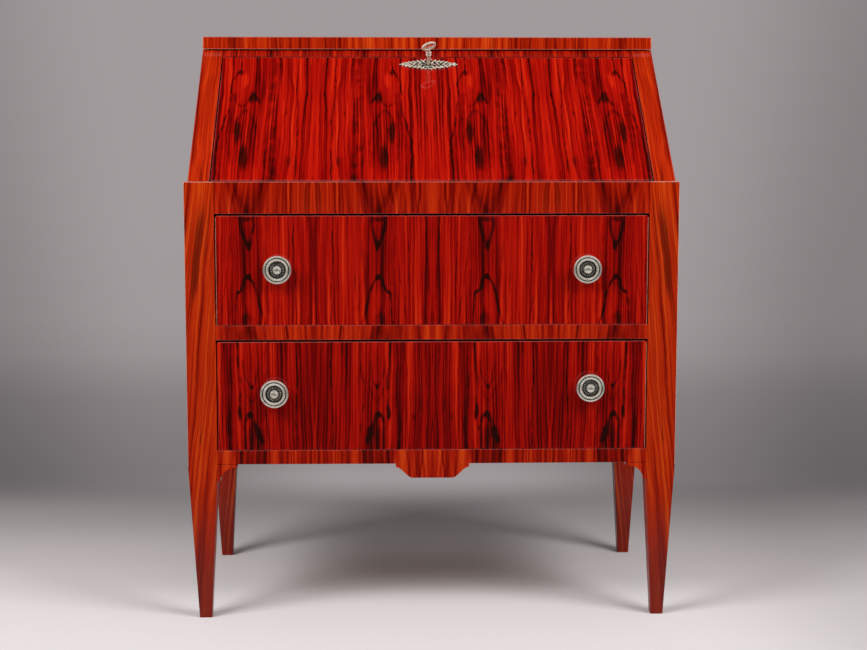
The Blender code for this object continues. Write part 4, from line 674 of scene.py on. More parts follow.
def build_plain_group():
    """Straight grain along the second axis: broad colour, fine fibre and pores."""
    tree, source, sink = new_group(
        "straight grain", [("Place", "Vector", None), ("Seed", "Float", 0.0)],
        [("Tone", "Float"), ("Pore", "Float")])
    x, y, z = split_axes(tree, source["Place"])
    bend = noise(tree, join_axes(tree, calc(tree, "MULTIPLY", x, BEND_PLACES[0]),
                                 calc(tree, "MULTIPLY", y, BEND_PLACES[1]), source["Seed"]), 1.0)
    across = calc(tree, "ADD", x, calc(tree, "MULTIPLY", bend, BEND))

    def fibre(scale, length, detail):
        """Noise along the fibre at one scale."""
        return noise(tree, join_axes(tree, calc(tree, "MULTIPLY", across, scale),
                                     calc(tree, "MULTIPLY", y, length),
                                     calc(tree, "MULTIPLY", z, scale)), detail)

    broad = calc(tree, "SUBTRACT", fibre(*BROAD_GRAIN), 0.5)
    fine = calc(tree, "SUBTRACT", fibre(*FINE_GRAIN), 0.5)
    tone = calc(tree, "ADD", calc(tree, "MULTIPLY", broad, BROAD_SHARE),
                calc(tree, "MULTIPLY", fine, FINE_GRAIN_SHARE))
    tree.links.new(calc(tree, "ADD", tone, 0.5, clamp=True), sink["Tone"])
    tree.links.new(step_between(tree, fibre(*PORE_GRAIN), *PORE_EDGE), sink["Pore"])
    return tree


plain_group = build_plain_group()


def build_plain_wood(name, stops, roughness, turn, coat, seed):
    """A plain wood; turn brings the grain's direction onto the second axis."""
    material, tree, shader = new_material(name, Roughness=roughness, Coat_Weight=coat,
                                          Coat_Roughness=0.3)
    mapping = tree.nodes.new("ShaderNodeMapping")
    mapping.inputs["Rotation"].default_value = turn
    tree.links.new(tree.nodes.new("ShaderNodeTexCoord").outputs["Object"], mapping.inputs[0])
    shown = use_group(tree, plain_group, Place=mapping.outputs[0], Seed=seed)
    colour = ramp(tree, shown["Tone"], stops)
    pore = calc(tree, "MULTIPLY", shown["Pore"], PORE_SHARE)
    tree.links.new(blend_colour(tree, pore, colour, PORE_COLOUR), shader["Base Color"])
    add_bump(tree, shown["Tone"], 0.25, 0.0003, shader)
    return material


INNER_STOPS = ((0.1, (0.150, 0.045, 0.016)), (0.5, (0.300, 0.105, 0.038)),
               (0.9, (0.430, 0.175, 0.070)))
PALE_STOPS = ((0.1, (0.400, 0.250, 0.120)), (0.5, (0.570, 0.385, 0.205)),
              (0.9, (0.700, 0.510, 0.300)))
# Nearly black colours for the edge faces of the drawer fronts: painted shade for the gaps.
EDGE_SHADE_STOPS = ((0.1, (0.006, 0.002, 0.001)), (0.5, (0.016, 0.004, 0.002)),
              (0.9, (0.035, 0.008, 0.003)))
ACROSS_TURN = (0.0, 0.0, math.pi / 2)
UPRIGHT_TURN = (math.pi / 2, 0.0, 0.0)
inner_wood = build_plain_wood("inner_wood_satin", INNER_STOPS, 0.42, ACROSS_TURN, 0.25, 3.0)
pale_wood = build_plain_wood("pale_lining_wood", PALE_STOPS, 0.62, (0.0, 0.0, 0.0), 0.0, 5.0)
pale_cross = build_plain_wood("pale_cross_wood", PALE_STOPS, 0.62, ACROSS_TURN, 0.0, 8.0)
back_wood = build_plain_wood("back_board_wood", INNER_STOPS, 0.55, UPRIGHT_TURN, 0.1, 6.0)
painted_shade_edge_wood = build_plain_wood("edge_painted_shade_wood", EDGE_SHADE_STOPS, 0.6, ACROSS_TURN, 0.0, 9.0)
print("inside woods:", [wood.name for wood in (inner_wood, pale_wood, pale_cross, back_wood)])

# %% [markdown]
# ## Metals
#
# The knobs and the lock plate are pale, almost silvery: brass whose nickel skin has worn warm.
# Hinges, stays and lock are plainer brass that has dulled. A group gives every metal cloudy tarnish
# and fine rubbing, and each metal has its own bright colour, dark colour and gloss.

# %% Aged metal group and the metals
CLOUDS_PER_METRE = 160.0
SPECKS_PER_METRE = 1400.0
SPECK_SHARE = 0.25
TARNISH_EDGE = (0.45, 0.85)


def build_metal_group():
    """Cloudy tarnish and fine rubbing marks on metal."""
    tree, source, sink = new_group(
        "aged metal", [("Place", "Vector", None), ("Bright", "Color", None), ("Dull", "Color", None),
                       ("Smooth", "Float", 0.2), ("Rough", "Float", 0.4)],
        [("Color", "Color"), ("Roughness", "Float"), ("Height", "Float")])
    cloud = noise(tree, scale_vector(tree, source["Place"], CLOUDS_PER_METRE), 4.0, 0.6)
    speck = noise(tree, scale_vector(tree, source["Place"], SPECKS_PER_METRE), 2.0, 0.6)
    mottled = calc(tree, "ADD", cloud, calc(tree, "MULTIPLY", speck, SPECK_SHARE))
    share = step_between(tree, mottled, *TARNISH_EDGE)
    tree.links.new(blend_colour(tree, share, source["Bright"], source["Dull"]), sink["Color"])
    tree.links.new(step_between(tree, share, 0.0, 1.0, source["Smooth"], source["Rough"]),
                   sink["Roughness"])
    tree.links.new(speck, sink["Height"])
    return tree


metal_group = build_metal_group()


def build_metal(name, bright, dull, smooth, rough, metallic=1.0):
    """A metal whose colour and gloss vary with its tarnish."""
    material, tree, shader = new_material(name, Metallic=metallic)
    place = tree.nodes.new("ShaderNodeTexCoord").outputs["Object"]
    shown = use_group(tree, metal_group, Place=place, Bright=(*bright, 1.0), Dull=(*dull, 1.0),
                      Smooth=smooth, Rough=rough)
    tree.links.new(shown["Color"], shader["Base Color"])
    tree.links.new(shown["Roughness"], shader["Roughness"])
    add_bump(tree, shown["Height"], 0.12, 0.0001, shader)
    return material


silvered = build_metal("silvered_brass", (0.92, 0.88, 0.80), (0.66, 0.60, 0.50), 0.20, 0.38, 0.72)
cast = build_metal("pale_cast_brass", (0.95, 0.90, 0.79), (0.72, 0.60, 0.42), 0.28, 0.45, 0.5)
dark_metal = build_metal("dark_ground_metal", (0.030, 0.027, 0.025), (0.010, 0.009, 0.009), 0.40,
                        0.65)
brass = build_metal("aged_brass", (0.66, 0.47, 0.20), (0.36, 0.24, 0.10), 0.22, 0.45)
steel = build_metal("dull_steel", (0.55, 0.54, 0.52), (0.30, 0.29, 0.28), 0.28, 0.50)
print("metals:", [metal.name for metal in (silvered, cast, dark_metal, brass, steel)])

# %% [markdown]
# ## Finishing a board
#
# A CAD solid is exact but sharp. On the real desk a cabinet scraper has broken every arris, and the
# lacquer flows round it in a thin bright line. So each board is copied as a clean mesh, its long
# outer edges are beveled in three steps, and the copy stands in for the solid. Some arrises are in
# the solid already, as a narrow flat. A flat is shaded round, and only the two edges beside it get
# a finer bevel. Edges stay crisp where boards meet, at the seams of the posts and the ends of the
# rails, and where the bolt enters the head rail. The arrises that hands have rubbed and that catch
# the light get a value on their faces that paints them pale, partly as wear and partly as painted
# highlight.
#
# The grain map is laid face by face. A front face takes its place across and up the desk. On a side
# or a top the map carries on round the corner, as a veneer leaf cut from the same log would.

# %% Board helpers
MERGE = 1e-6
FLAT_TURN = math.radians(1)
CREASE = math.radians(30)
NEAR = 1e-4
ARRIS = 0.0009
ARRIS_STEPS = 3
ARRIS_REACH = 0.0011
LEAST_LENGTH_SHARE = 8
FLAT_WIDTH = 0.0014
FINE_SHARE = 0.3
FINE_STEPS = 2
LEAN_SHARE = 0.99
body_of = {node: name for name, members in frame["record"]["behaviour"]["bodies"].items()
           for node in members}


def copy_node(node):
    """A CAD solid as a clean bmesh: corners merged and flat triangles joined into faces."""
    body = bmesh.new()
    body.from_mesh(nodes[node].data)
    body.faces.layers.float.new("wear")
    bmesh.ops.remove_doubles(body, verts=body.verts, dist=MERGE)
    bmesh.ops.dissolve_limit(body, angle_limit=FLAT_TURN, verts=body.verts, edges=body.edges)
    return body


def edge_at(**places):
    """A test for an edge whose ends all lie at the given x, y or z."""
    def test(edge):
        """Whether this edge lies there."""
        return all(abs(getattr(vert.co, axis) - value) < NEAR
                   for vert in edge.verts for axis, value in places.items())
    return test


def corner_at(**places):
    """A test for a place on the arris at the given x, y or z."""
    def test(place):
        """Whether this place lies there."""
        return all(abs(getattr(place, axis) - value) < ARRIS_REACH
                   for axis, value in places.items())
    return test


def flat_width(face):
    """The width of a face that is itself a narrow arris, or zero for any other face."""
    longest = max(edge.calc_length() for edge in face.edges)
    width = face.calc_area() / longest
    return width if width < FLAT_WIDTH and longest > LEAST_LENGTH_SHARE * width else 0.0


def round_edges(body, edges, width, steps):
    """Round these edges, and hand back the new faces."""
    if not edges:
        return []
    made = bmesh.ops.bevel(body, geom=edges, offset=width, offset_type="OFFSET", segments=steps,
                           profile=0.5, affect="EDGES", material=-1, clamp_overlap=False)
    return made["faces"]


def round_arrises(body, width=ARRIS, worn_and_highlit=(), crisp=None):
    """Round the long outer edges but the crisp ones; those that `worn_and_highlit` picks get its value
    of wear and painted highlight.
    """
    wear = body.faces.layers.float["wear"]

    def sharp(edge, width):
        """Whether an edge can be rounded this wide."""
        return (len(edge.link_faces) == 2 and edge.is_convex and edge.calc_face_angle() > CREASE
                and edge.calc_length() > LEAST_LENGTH_SHARE * width
                and not (crisp and crisp(edge)))

    def finish(faces):
        """Shade arris faces round and give them their value of wear and painted highlight."""
        for face in faces:
            face.smooth = True
            middle = face.calc_center_median()
            face[wear] = max((amount for test, amount in worn_and_highlit if test(middle)), default=0.0)

    flats = [face for face in body.faces if flat_width(face)]
    finish(flats)
    if flats:
        fine = min(flat_width(face) for face in flats) * FINE_SHARE
        edges = [edge for edge in {edge for face in flats for edge in face.edges}
                 if sharp(edge, fine)]
        finish(round_edges(body, edges, fine, FINE_STEPS))
    edges = [edge for edge in body.edges if sharp(edge, width)]
    finish(round_edges(body, edges, width, ARRIS_STEPS))


def grain_place(place, normal, leaning):
    """Where a point of a face lies across and along the grain."""
    if leaning or normal.dot(OUT) > LEAN_SHARE:
        offset = place - HINGE
        x, depth, height = offset.x, -offset.dot(OUT), offset.dot(UPHILL)
        turned = Vector((normal.x, -normal.dot(OUT), normal.dot(UPHILL)))
    else:
        x, depth, height = place.x, place.y - FRONT, place.z
        turned = normal
    if abs(turned.x) > max(abs(turned.y), abs(turned.z)):
        return x + math.copysign(depth, turned.x), height
    if abs(turned.z) > abs(turned.y):
        return x, height + math.copysign(depth, turned.z)
    return x, height


def lay_grain(body, leaning=False):
    """Write the grain map on every face."""
    grain = body.loops.layers.uv.new("grain")
    for face in body.faces:
        for loop in face.loops:
            loop[grain].uv = grain_place(loop.vert.co, face.normal, leaning)


def put(name, body, finishes, rides, slot, *stands_for):
    """Make an object of a bmesh, hang it on its body, and let it stand for CAD solids."""
    mesh = bpy.data.meshes.new(name)
    body.to_mesh(mesh)
    body.free()
    piece = bpy.data.objects.new(name, mesh)
    bpy.context.scene.collection.objects.link(piece)
    for finish in finishes:
        mesh.materials.append(finish)
    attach(piece, rides)
    if stands_for:
        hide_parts(*stands_for)
    return piece


def dress(node, finish, width=ARRIS, worn_and_highlit=(), leaning=False, crisp=None):
    """Stand a finished board in the place of its CAD solid."""
    slot = nodes[node].data.materials[0].name
    body = copy_node(node)
    round_arrises(body, width, worn_and_highlit, crisp)
    lay_grain(body, leaning)
    return put(f"{node}_finished", body, [finish], body_of[node], slot, node)


print("bodies:", sorted(set(body_of.values())))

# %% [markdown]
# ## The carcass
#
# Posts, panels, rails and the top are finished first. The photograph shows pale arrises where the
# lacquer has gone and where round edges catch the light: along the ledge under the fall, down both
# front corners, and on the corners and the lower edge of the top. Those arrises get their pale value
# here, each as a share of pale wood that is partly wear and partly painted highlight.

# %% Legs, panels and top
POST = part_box("front_right_leg")[1].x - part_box("front_right_leg")[0].x
CRISP_LEVELS = (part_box("left_corner_bracket")[1].z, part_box("mid_rail")[1].z,
                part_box("bottom_rail")[1].z)
SMALL_ARRIS = 0.0005
MORTISE_MARGIN = 0.01
# How pale each arris is painted: partly wear, partly a painted highlight where it catches a box.
LEG_LEDGE_WEAR_AND_HIGHLIGHT = 0.75
LEG_CORNER_WEAR_AND_HIGHLIGHT = {"left": 0.75, "right": 1.0}
LEG_SIDE_WEAR_AND_HIGHLIGHT = 0.8
TOP_LOWER_WEAR_AND_HIGHLIGHT = 0.55
TOP_CORNER_WEAR_AND_HIGHLIGHT = 0.9
TOP_UPPER_WEAR_AND_HIGHLIGHT = 0.2
RAIL_LEDGE_WEAR_AND_HIGHLIGHT = 0.3


def at_rail_end(edge):
    """Whether an edge is where a rail meets a post, or on a level that stays crisp."""
    first, second = (vert.co.x for vert in edge.verts)
    ends = abs(first - second) < NEAR and abs(abs(first) - (HALF - POST)) < 10 * NEAR
    return ends or any(all(abs(vert.co.z - level) < NEAR for vert in edge.verts)
                       for level in CRISP_LEVELS)


def between_posts(edge):
    """Whether an edge lies between the posts, as the mortise for the bolt does."""
    return all(abs(vert.co.x) < HALF - POST - MORTISE_MARGIN for vert in edge.verts)


for side_name, side in (("left", -1), ("right", 1)):
    edges = ((corner_at(y=FRONT, z=CASE_TOP), LEG_LEDGE_WEAR_AND_HIGHLIGHT),
             (corner_at(x=side * HALF, y=FRONT), LEG_CORNER_WEAR_AND_HIGHLIGHT[side_name]),
             (corner_at(x=side * HALF, z=CASE_TOP), LEG_SIDE_WEAR_AND_HIGHLIGHT))
    seam = edge_at(x=side * (HALF - POST), y=FRONT)
    dress(f"front_{side_name}_leg", veneers["leg"], worn_and_highlit=edges, crisp=seam)
    dress(f"back_{side_name}_leg", veneers["back_leg"])
    dress(f"{side_name}_side_panel", veneers["stile"])
    dress(f"{side_name}_gable", veneers["stile"])
    dress(f"{side_name}_corner_bracket", veneers["rail"], crisp=lambda edge: True)
top_low, top_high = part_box("top_board")
dress("top_board", veneers["stile"],
      worn_and_highlit=((corner_at(y=top_low.y, z=top_low.z), TOP_LOWER_WEAR_AND_HIGHLIGHT),
            (corner_at(x=top_high.x, y=top_low.y), TOP_CORNER_WEAR_AND_HIGHLIGHT),
            (corner_at(x=top_low.x, y=top_low.y), TOP_CORNER_WEAR_AND_HIGHLIGHT),
            (corner_at(y=top_low.y, z=top_high.z), TOP_UPPER_WEAR_AND_HIGHLIGHT)))
for name in ("top", "mid", "bottom"):
    dress(f"{name}_rail", veneers["rail"],
          worn_and_highlit=((corner_at(y=FRONT, z=CASE_TOP), RAIL_LEDGE_WEAR_AND_HIGHLIGHT),), crisp=at_rail_end)
dress("head_rail", veneers["head"], crisp=between_posts)
finished = [thing.name for thing in bpy.data.objects if thing.name.endswith("_finished")]
print("boards finished so far:", len(finished))

# %% [markdown]
# ## The fall and the drawer fronts
#
# The fall leans, so its grain map is measured up the slope from the hinge line. That keeps the eyes
# of the figure in their places however the desk is turned. Its inner face is the plain wood of the
# writing board. The edge faces of the drawer fronts are painted nearly black, as painted shade, so
# that the gaps round them look dark.

# %% Fall and fronts
DRAWER_ARRIS = 0.0010
INNER_SHARE = 0.9
SHADED_EDGE_FACE_SHARE = 0.95
# How pale the arrises of the fall and the fronts are painted: partly wear, partly painted highlight.
FALL_TOP_WEAR_AND_HIGHLIGHT = 0.55
DRAWER_TOP_WEAR_AND_HIGHLIGHT = 0.12
DRAWER_LEFT_WEAR_AND_HIGHLIGHT = {"upper": 0.6, "lower": 0.0}
DRAWER_RIGHT_WEAR_AND_HIGHLIGHT = 0.75
FALL_TOP = max((corner.co - HINGE).dot(UPHILL) for corner in nodes["fall_panel"].data.vertices)


def at_fall_top(place):
    """Whether a place is on the upper arris of the fall's outer face."""
    offset = place - HINGE
    return abs(offset.dot(UPHILL) - FALL_TOP) < ARRIS_REACH and offset.dot(OUT) > 0


fall_piece = dress("fall_panel", veneers["fall"], worn_and_highlit=((at_fall_top, FALL_TOP_WEAR_AND_HIGHLIGHT),),
                   leaning=True)
fall_piece.data.materials.append(inner_wood)
for face in fall_piece.data.polygons:
    face.material_index = int(face.normal.dot(OUT) < -INNER_SHARE)
for name in ("upper", "lower"):
    low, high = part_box(f"{name}_drawer_front")
    front = dress(f"{name}_drawer_front", veneers[name], DRAWER_ARRIS,
                  worn_and_highlit=((corner_at(y=low.y, z=high.z), DRAWER_TOP_WEAR_AND_HIGHLIGHT),
                        (corner_at(x=low.x, y=low.y), DRAWER_LEFT_WEAR_AND_HIGHLIGHT[name]),
                        (corner_at(x=high.x, y=low.y), DRAWER_RIGHT_WEAR_AND_HIGHLIGHT)))
    # Edge faces of the drawer fronts take the nearly black wood: painted shade for the gaps.
    front.data.materials.append(painted_shade_edge_wood)
    for face in front.data.polygons:
        sideways = max(abs(face.normal.z), abs(face.normal.x))
        face.material_index = int(sideways > SHADED_EDGE_FACE_SHARE)
for side_name in ("left", "right"):
    dress(f"{side_name}_small_drawer_front", veneers["rail"], SMALL_ARRIS)
print("fall reaches", round(FALL_TOP, 4), "m up the slope")

# %% [markdown]
# ## Inside woods
#
# The plain boards keep their CAD meshes, since no arris of theirs is seen close. Only their
# material slots are filled: the grain of each runs along the board.

# %% Plain boards
for node in ("writing_board", "gallery"):
    nodes[node].data.materials[0] = inner_wood
nodes["back_panel"].data.materials[0] = back_wood
linings = [node for node in nodes if nodes[node].data.materials[0].name == "pale_wood"]
for node in linings:
    turned = node.endswith(("_back", "_bottom"))
    nodes[node].data.materials[0] = pale_cross if turned else pale_wood
print("pale linings and runners:", len(linings))

# %% [markdown]
# ## Turned and bent metal
#
# Everything turned is drawn as half a section, then spun round its axis. A section needs soft
# curves, so a few points are given and a spline runs through them. The first and the last
# point lie on the axis and close the shape.

# %% Sections and spinning
SPIN_STEPS = 64


def soft_line(points, steps=3):
    """A smooth line through points, each stretch cut into a few steps."""
    line = []
    for index in range(len(points) - 1):
        before, here = points[max(index - 1, 0)], points[index]
        there, after = points[index + 1], points[min(index + 2, len(points) - 1)]
        for step in range(steps):
            t = step / steps
            line.append(tuple(
                0.5 * (2 * b + (c - a) * t + (2 * a - 5 * b + 4 * c - d) * t * t
                       + (3 * b - a - 3 * c + d) * t * t * t)
                for a, b, c, d in zip(before, here, there, after)))
    return line + [points[-1]]


def spin_section(body, section, steps=SPIN_STEPS):
    """Spin a section of (radius, height) points round the Z axis and close its poles."""
    verts = [body.verts.new((max(radius, 0.0), 0, height)) for radius, height in section]
    edges = [body.edges.new(pair) for pair in zip(verts, verts[1:])]
    bmesh.ops.spin(body, geom=verts + edges, cent=(0, 0, 0), axis=(0, 0, 1), angle=math.tau,
                   steps=steps, use_merge=True)
    bmesh.ops.remove_doubles(body, verts=body.verts, dist=MERGE)
    bmesh.ops.dissolve_degenerate(body, edges=body.edges, dist=MERGE)
    bmesh.ops.recalc_face_normals(body, faces=body.faces)


def smooth_all(body):
    """Shade every face of a bmesh smooth."""
    for face in body.faces:
        face.smooth = True


def lay_over(body, node, front):
    """Lay what was turned on the Z axis over, so that it points out of a drawer front."""
    low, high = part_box(node)
    middle = (low + high) / 2
    laid = Matrix.Translation((middle.x, front, middle.z)) @ Matrix.Rotation(math.pi / 2, 4, "X")
    bmesh.ops.transform(body, matrix=laid, verts=body.verts)


print("steps of a full spin:", SPIN_STEPS)

# %% [markdown]
# ## The four drawer knobs
#
# Each knob is a disc on a waisted neck: a rolled rim, a groove, a ring of beads, a dark recess with
# short flutes, and a boss with a dimple in the middle. The recess and the groove never get polished
# and stay black, so faces there take a second material. Each knob is turned pointing up the Z axis,
# then laid over to point out of its drawer front. All its sizes are shares of its radius across
# and of its reach outwards.

# %% Knobs
KNOB_SECTION_SHARES = (
    (0.0, 0.0), (0.30, 0.0), (0.50, 0.0), (0.53, 0.03), (0.50, 0.07), (0.40, 0.12), (0.34, 0.20),
    (0.35, 0.32), (0.52, 0.41), (0.80, 0.48), (0.95, 0.53), (1.0, 0.60), (0.995, 0.67),
    (0.95, 0.735), (0.89, 0.735), (0.85, 0.68), (0.828, 0.63), (0.80, 0.67), (0.77, 0.74),
    (0.70, 0.775), (0.63, 0.74), (0.60, 0.66), (0.57, 0.59), (0.46, 0.57), (0.36, 0.59),
    (0.315, 0.66), (0.305, 0.78), (0.28, 0.87), (0.235, 0.925), (0.18, 0.945), (0.135, 0.92),
    (0.105, 0.87), (0.05, 0.86), (0.0, 0.865))
RECESS_SHARES = ((0.33, 0.60), (0.805, 0.85))
RECESS_LEVEL_SHARES = (0.5, 0.68)
BEADS = 36
BEAD_PLACE_SHARES = (0.70, 0.765)
BEAD_SHARE = 0.052
BEAD_SHAPE = (1.15, 0.9, 0.8, 1)
FLUTES = 24
FLUTE_PLACE_SHARES = (0.46, 0.575)
FLUTE_SHARE = 0.028
FLUTE_SHAPE = (3.6, 0.85, 1.0, 1)


def build_knob(radius, reach):
    """A knob that stands on the origin and points up."""
    body = bmesh.new()
    section = [(radius * across, reach * out) for across, out in KNOB_SECTION_SHARES]
    spin_section(body, soft_line(section))
    lowest, highest = (reach * share for share in RECESS_LEVEL_SHARES)
    for face in body.faces:
        middle = face.calc_center_median()
        across = math.hypot(middle.x, middle.y) / radius
        sunk = lowest < middle.z < highest
        if sunk and any(low < across < high for low, high in RECESS_SHARES):
            face.material_index = 1
    for count, rounds, shares, size, shape in (
            (BEADS, 10, BEAD_PLACE_SHARES, BEAD_SHARE, BEAD_SHAPE),
            (FLUTES, 8, FLUTE_PLACE_SHARES, FLUTE_SHARE, FLUTE_SHAPE)):
        place = Matrix.Translation((radius * shares[0], 0, reach * shares[1]))
        for index in range(count):
            turn = Matrix.Rotation(math.tau * index / count, 4, "Z")
            bmesh.ops.create_uvsphere(body, u_segments=rounds, v_segments=6, radius=radius * size,
                                      matrix=turn @ place @ Matrix.Diagonal(shape))
    smooth_all(body)
    return body


for drawer in ("upper", "lower"):
    for side_name in ("left", "right"):
        node = f"{drawer}_drawer_{side_name}_knob"
        low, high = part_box(node)
        radius, reach = (high.x - low.x) / 2, FRONT - low.y
        knob = build_knob(radius, reach)
        lay_over(knob, node, FRONT)
        put(f"{node}_turned", knob, [silvered, dark_metal], body_of[node], "brass", node)
print("knob radius:", round(radius, 4), "reach:", round(reach, 4))

# %% [markdown]
# ## Small knobs of the inner drawers
#
# The two small drawers of the gallery have plain brass knobs. They are turned like the large ones,
# from a section without beads or grooves.

# %% Small knobs
SMALL_SPIN_STEPS = 40
SMALL_KNOB_SECTION_SHARES = (
    (0.0, 0.0), (0.62, 0.0), (0.60, 0.06), (0.42, 0.16), (0.38, 0.32), (0.50, 0.44), (0.88, 0.56),
    (1.0, 0.70), (0.92, 0.86), (0.62, 0.96), (0.30, 0.99), (0.0, 1.0))
for side_name in ("left", "right"):
    node = f"{side_name}_small_drawer_knob"
    low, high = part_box(node)
    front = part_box(f"{side_name}_small_drawer_front")[0].y
    radius, reach = (high.x - low.x) / 2, front - low.y
    knob = bmesh.new()
    section = [(radius * across, reach * out) for across, out in SMALL_KNOB_SECTION_SHARES]
    spin_section(knob, soft_line(section), SMALL_SPIN_STEPS)
    lay_over(knob, node, front)
    smooth_all(knob)
    put(f"{node}_turned", knob, [brass], body_of[node], "brass", node)
print("small knob radius:", round(radius, 4))

# %% [markdown]
# ## The pierced plate
#
# The plate round the keyhole is openwork: small leaves and beads cast in one piece, with the dark
# ground showing between them. The CAD plate stays as that ground, coloured nearly black as painted
# shade for the gaps. Leaves lie on it in pairs that lean outwards, growing smaller toward the
# pointed ends, with a berry beside each and a stem down the middle. Small lumps of uneven size fill
# the ground, a swag of beads dips below the keyhole, and a ring of beads runs round it. A leaf is a
# sphere drawn long and flat, which costs few faces.

# %% Plate relief
KEYHOLE = Vector(joints["key_turn"]["pos_m"]) - HINGE
on_plate = on_slope @ Matrix.Translation((KEYHOLE.x, KEYHOLE.dot(UPHILL), KEYHOLE.dot(OUT)))
PLATE_HALF = (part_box("keyhole_plate")[1].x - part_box("keyhole_plate")[0].x) / 2
PLATE_RISE = 0.0015
TAPER_POWER = 1.7
LEAF_PAIRS = 6
FIRST_LEAF_SHARE = 1.2
LEAF_SWELL, LEAF_LEAST = 0.0128, 0.0014
GROWTH_SWAY, GROWTH_PACE = 0.22, 2.4
LEAF_RISE_SHARE = 0.60
LEAF_LENGTH, LEAF_TAPER = 0.0125, 0.006
LEAF_WIDTH, LEAF_HEIGHT = 0.0036, 0.0016
LEAF_LEAN_DEG, LEAN_TAPER_DEG = 56, 26
BERRY_SIZE = (0.0031, 0.0031, 0.0017)
BERRY_BACK = 0.0034
BERRY_RISE_SHARE, BERRY_GROWTH_SHARE = 0.86, 0.16
STEM_LENGTH, STEM_TAPER = 0.0066, 0.003
STEM_WIDTH, STEM_HEIGHT, STEM_AHEAD = 0.0024, 0.0013, 0.0024
TIP_SIZE = (0.0064, 0.0024, 0.0011)
TIP_SHARE = 0.965
LUMPS = 64
LUMP_SWELL, LUMP_LEAST = 0.0118, 0.0008
LUMP_REACH_SHARE, LUMP_RISE_SHARE = 0.94, 0.92
LUMP_WIDTH, LUMP_WIDTH_SWAY, LUMP_HEIGHT = 0.0024, 0.0012, 0.0018
LUMP_STRETCH = 1.5
LUMP_WIDTH_PACE, LUMP_RISE_PACE, LUMP_TURN_PACE = 5.1, 2.7, 1.9
SWAG_BEADS = 13
SWAG_BEAD_SIZE = (0.0026, 0.0026, 0.0014)
SWAG_HALF, SWAG_DROP, SWAG_RISE = 0.017, 0.0128, 0.0050
RING_BEADS = 12
RING_BEAD_SIZE = (0.0020, 0.0020, 0.0010)
RING_HALF_WIDTH, RING_HALF_HEIGHT = 0.0062, 0.0072
# The flat plate under the relief is nearly black: painted shade for the gaps of the openwork.
nodes["keyhole_plate"].data.materials[0] = dark_metal


def add_leaf(body, x, y, size, turn=0.0, rounds=8):
    """A drawn-out drop of metal that lies on the plate; size is its length, width and height."""
    place = Matrix.Translation((x, y, PLATE_RISE)) @ Matrix.Rotation(turn, 4, "Z")
    shape = Matrix.Diagonal((size[0] / 2, size[1] / 2, size[2], 1))
    bmesh.ops.create_uvsphere(body, u_segments=rounds, v_segments=6, radius=1.0,
                              matrix=place @ shape)


def add_leaf_pairs(body, side):
    """The leaves, berries and stem on one side of the keyhole."""
    for index in range(LEAF_PAIRS):
        share = (index + FIRST_LEAF_SHARE) / (LEAF_PAIRS + 1.0)
        x = side * PLATE_HALF * share
        swell = LEAF_SWELL * (1 - share ** TAPER_POWER) + LEAF_LEAST
        growth = 1.0 + GROWTH_SWAY * math.sin(GROWTH_PACE * index + side)
        leaf = ((LEAF_LENGTH - LEAF_TAPER * share) * growth, LEAF_WIDTH, LEAF_HEIGHT)
        for rise in (-1, 1):
            turn = side * rise * math.radians(LEAF_LEAN_DEG - LEAN_TAPER_DEG * share)
            add_leaf(body, x, rise * swell * LEAF_RISE_SHARE, leaf, turn, 10)
            if index < LEAF_PAIRS - 1:
                berry_share = BERRY_RISE_SHARE + BERRY_GROWTH_SHARE * growth
                add_leaf(body, x - side * BERRY_BACK, rise * swell * berry_share, BERRY_SIZE)
        stem = (STEM_LENGTH - STEM_TAPER * share, STEM_WIDTH, STEM_HEIGHT)
        add_leaf(body, x + side * STEM_AHEAD, 0.0, stem, 0.0, 10)
    add_leaf(body, side * PLATE_HALF * TIP_SHARE, 0.0, TIP_SIZE, 0.0, 10)


def add_lumps(body):
    """The lumps of uneven size that fill the ground, and the two rows of beads."""
    for index in range(LUMPS):
        share = (2 * index + 1) / LUMPS - 1
        swell = LUMP_SWELL * (1 - abs(share) ** TAPER_POWER) + LUMP_LEAST
        width = LUMP_WIDTH + LUMP_WIDTH_SWAY * math.sin(LUMP_WIDTH_PACE * index)
        rise = LUMP_RISE_SHARE * swell * math.sin(LUMP_RISE_PACE * index)
        add_leaf(body, PLATE_HALF * LUMP_REACH_SHARE * share, rise,
                 (LUMP_STRETCH * width, width, LUMP_HEIGHT), LUMP_TURN_PACE * index)
    for index in range(SWAG_BEADS):
        share = 2 * index / (SWAG_BEADS - 1) - 1
        add_leaf(body, SWAG_HALF * share, SWAG_RISE * share * share - SWAG_DROP, SWAG_BEAD_SIZE)
    for index in range(RING_BEADS):
        turn = math.tau * index / RING_BEADS
        add_leaf(body, RING_HALF_WIDTH * math.cos(turn), RING_HALF_HEIGHT * math.sin(turn),
                 RING_BEAD_SIZE)


def build_relief():
    """The whole relief, made flat and then set on the plate."""
    body = bmesh.new()
    for side in (-1, 1):
        add_leaf_pairs(body, side)
    add_lumps(body)
    smooth_all(body)
    bmesh.ops.transform(body, matrix=on_plate, verts=body.verts)
    return body


put("keyhole_plate_relief", build_relief(), [cast], "fall", "plate_metal")
print("plate half length:", round(PLATE_HALF, 4))

# %% [markdown]
# ## The key
#
# The key stands in the lock with its bow turned a little. Its shank is turned, with a double bead
# for a collar. The bow is a round bar bent into an oval: circles are set along the oval and bridged
# one to the next. Three small points rise inside the bow from the side that meets the shank. The
# bit that throws the bolt is a small block on the far end, inside the lock.

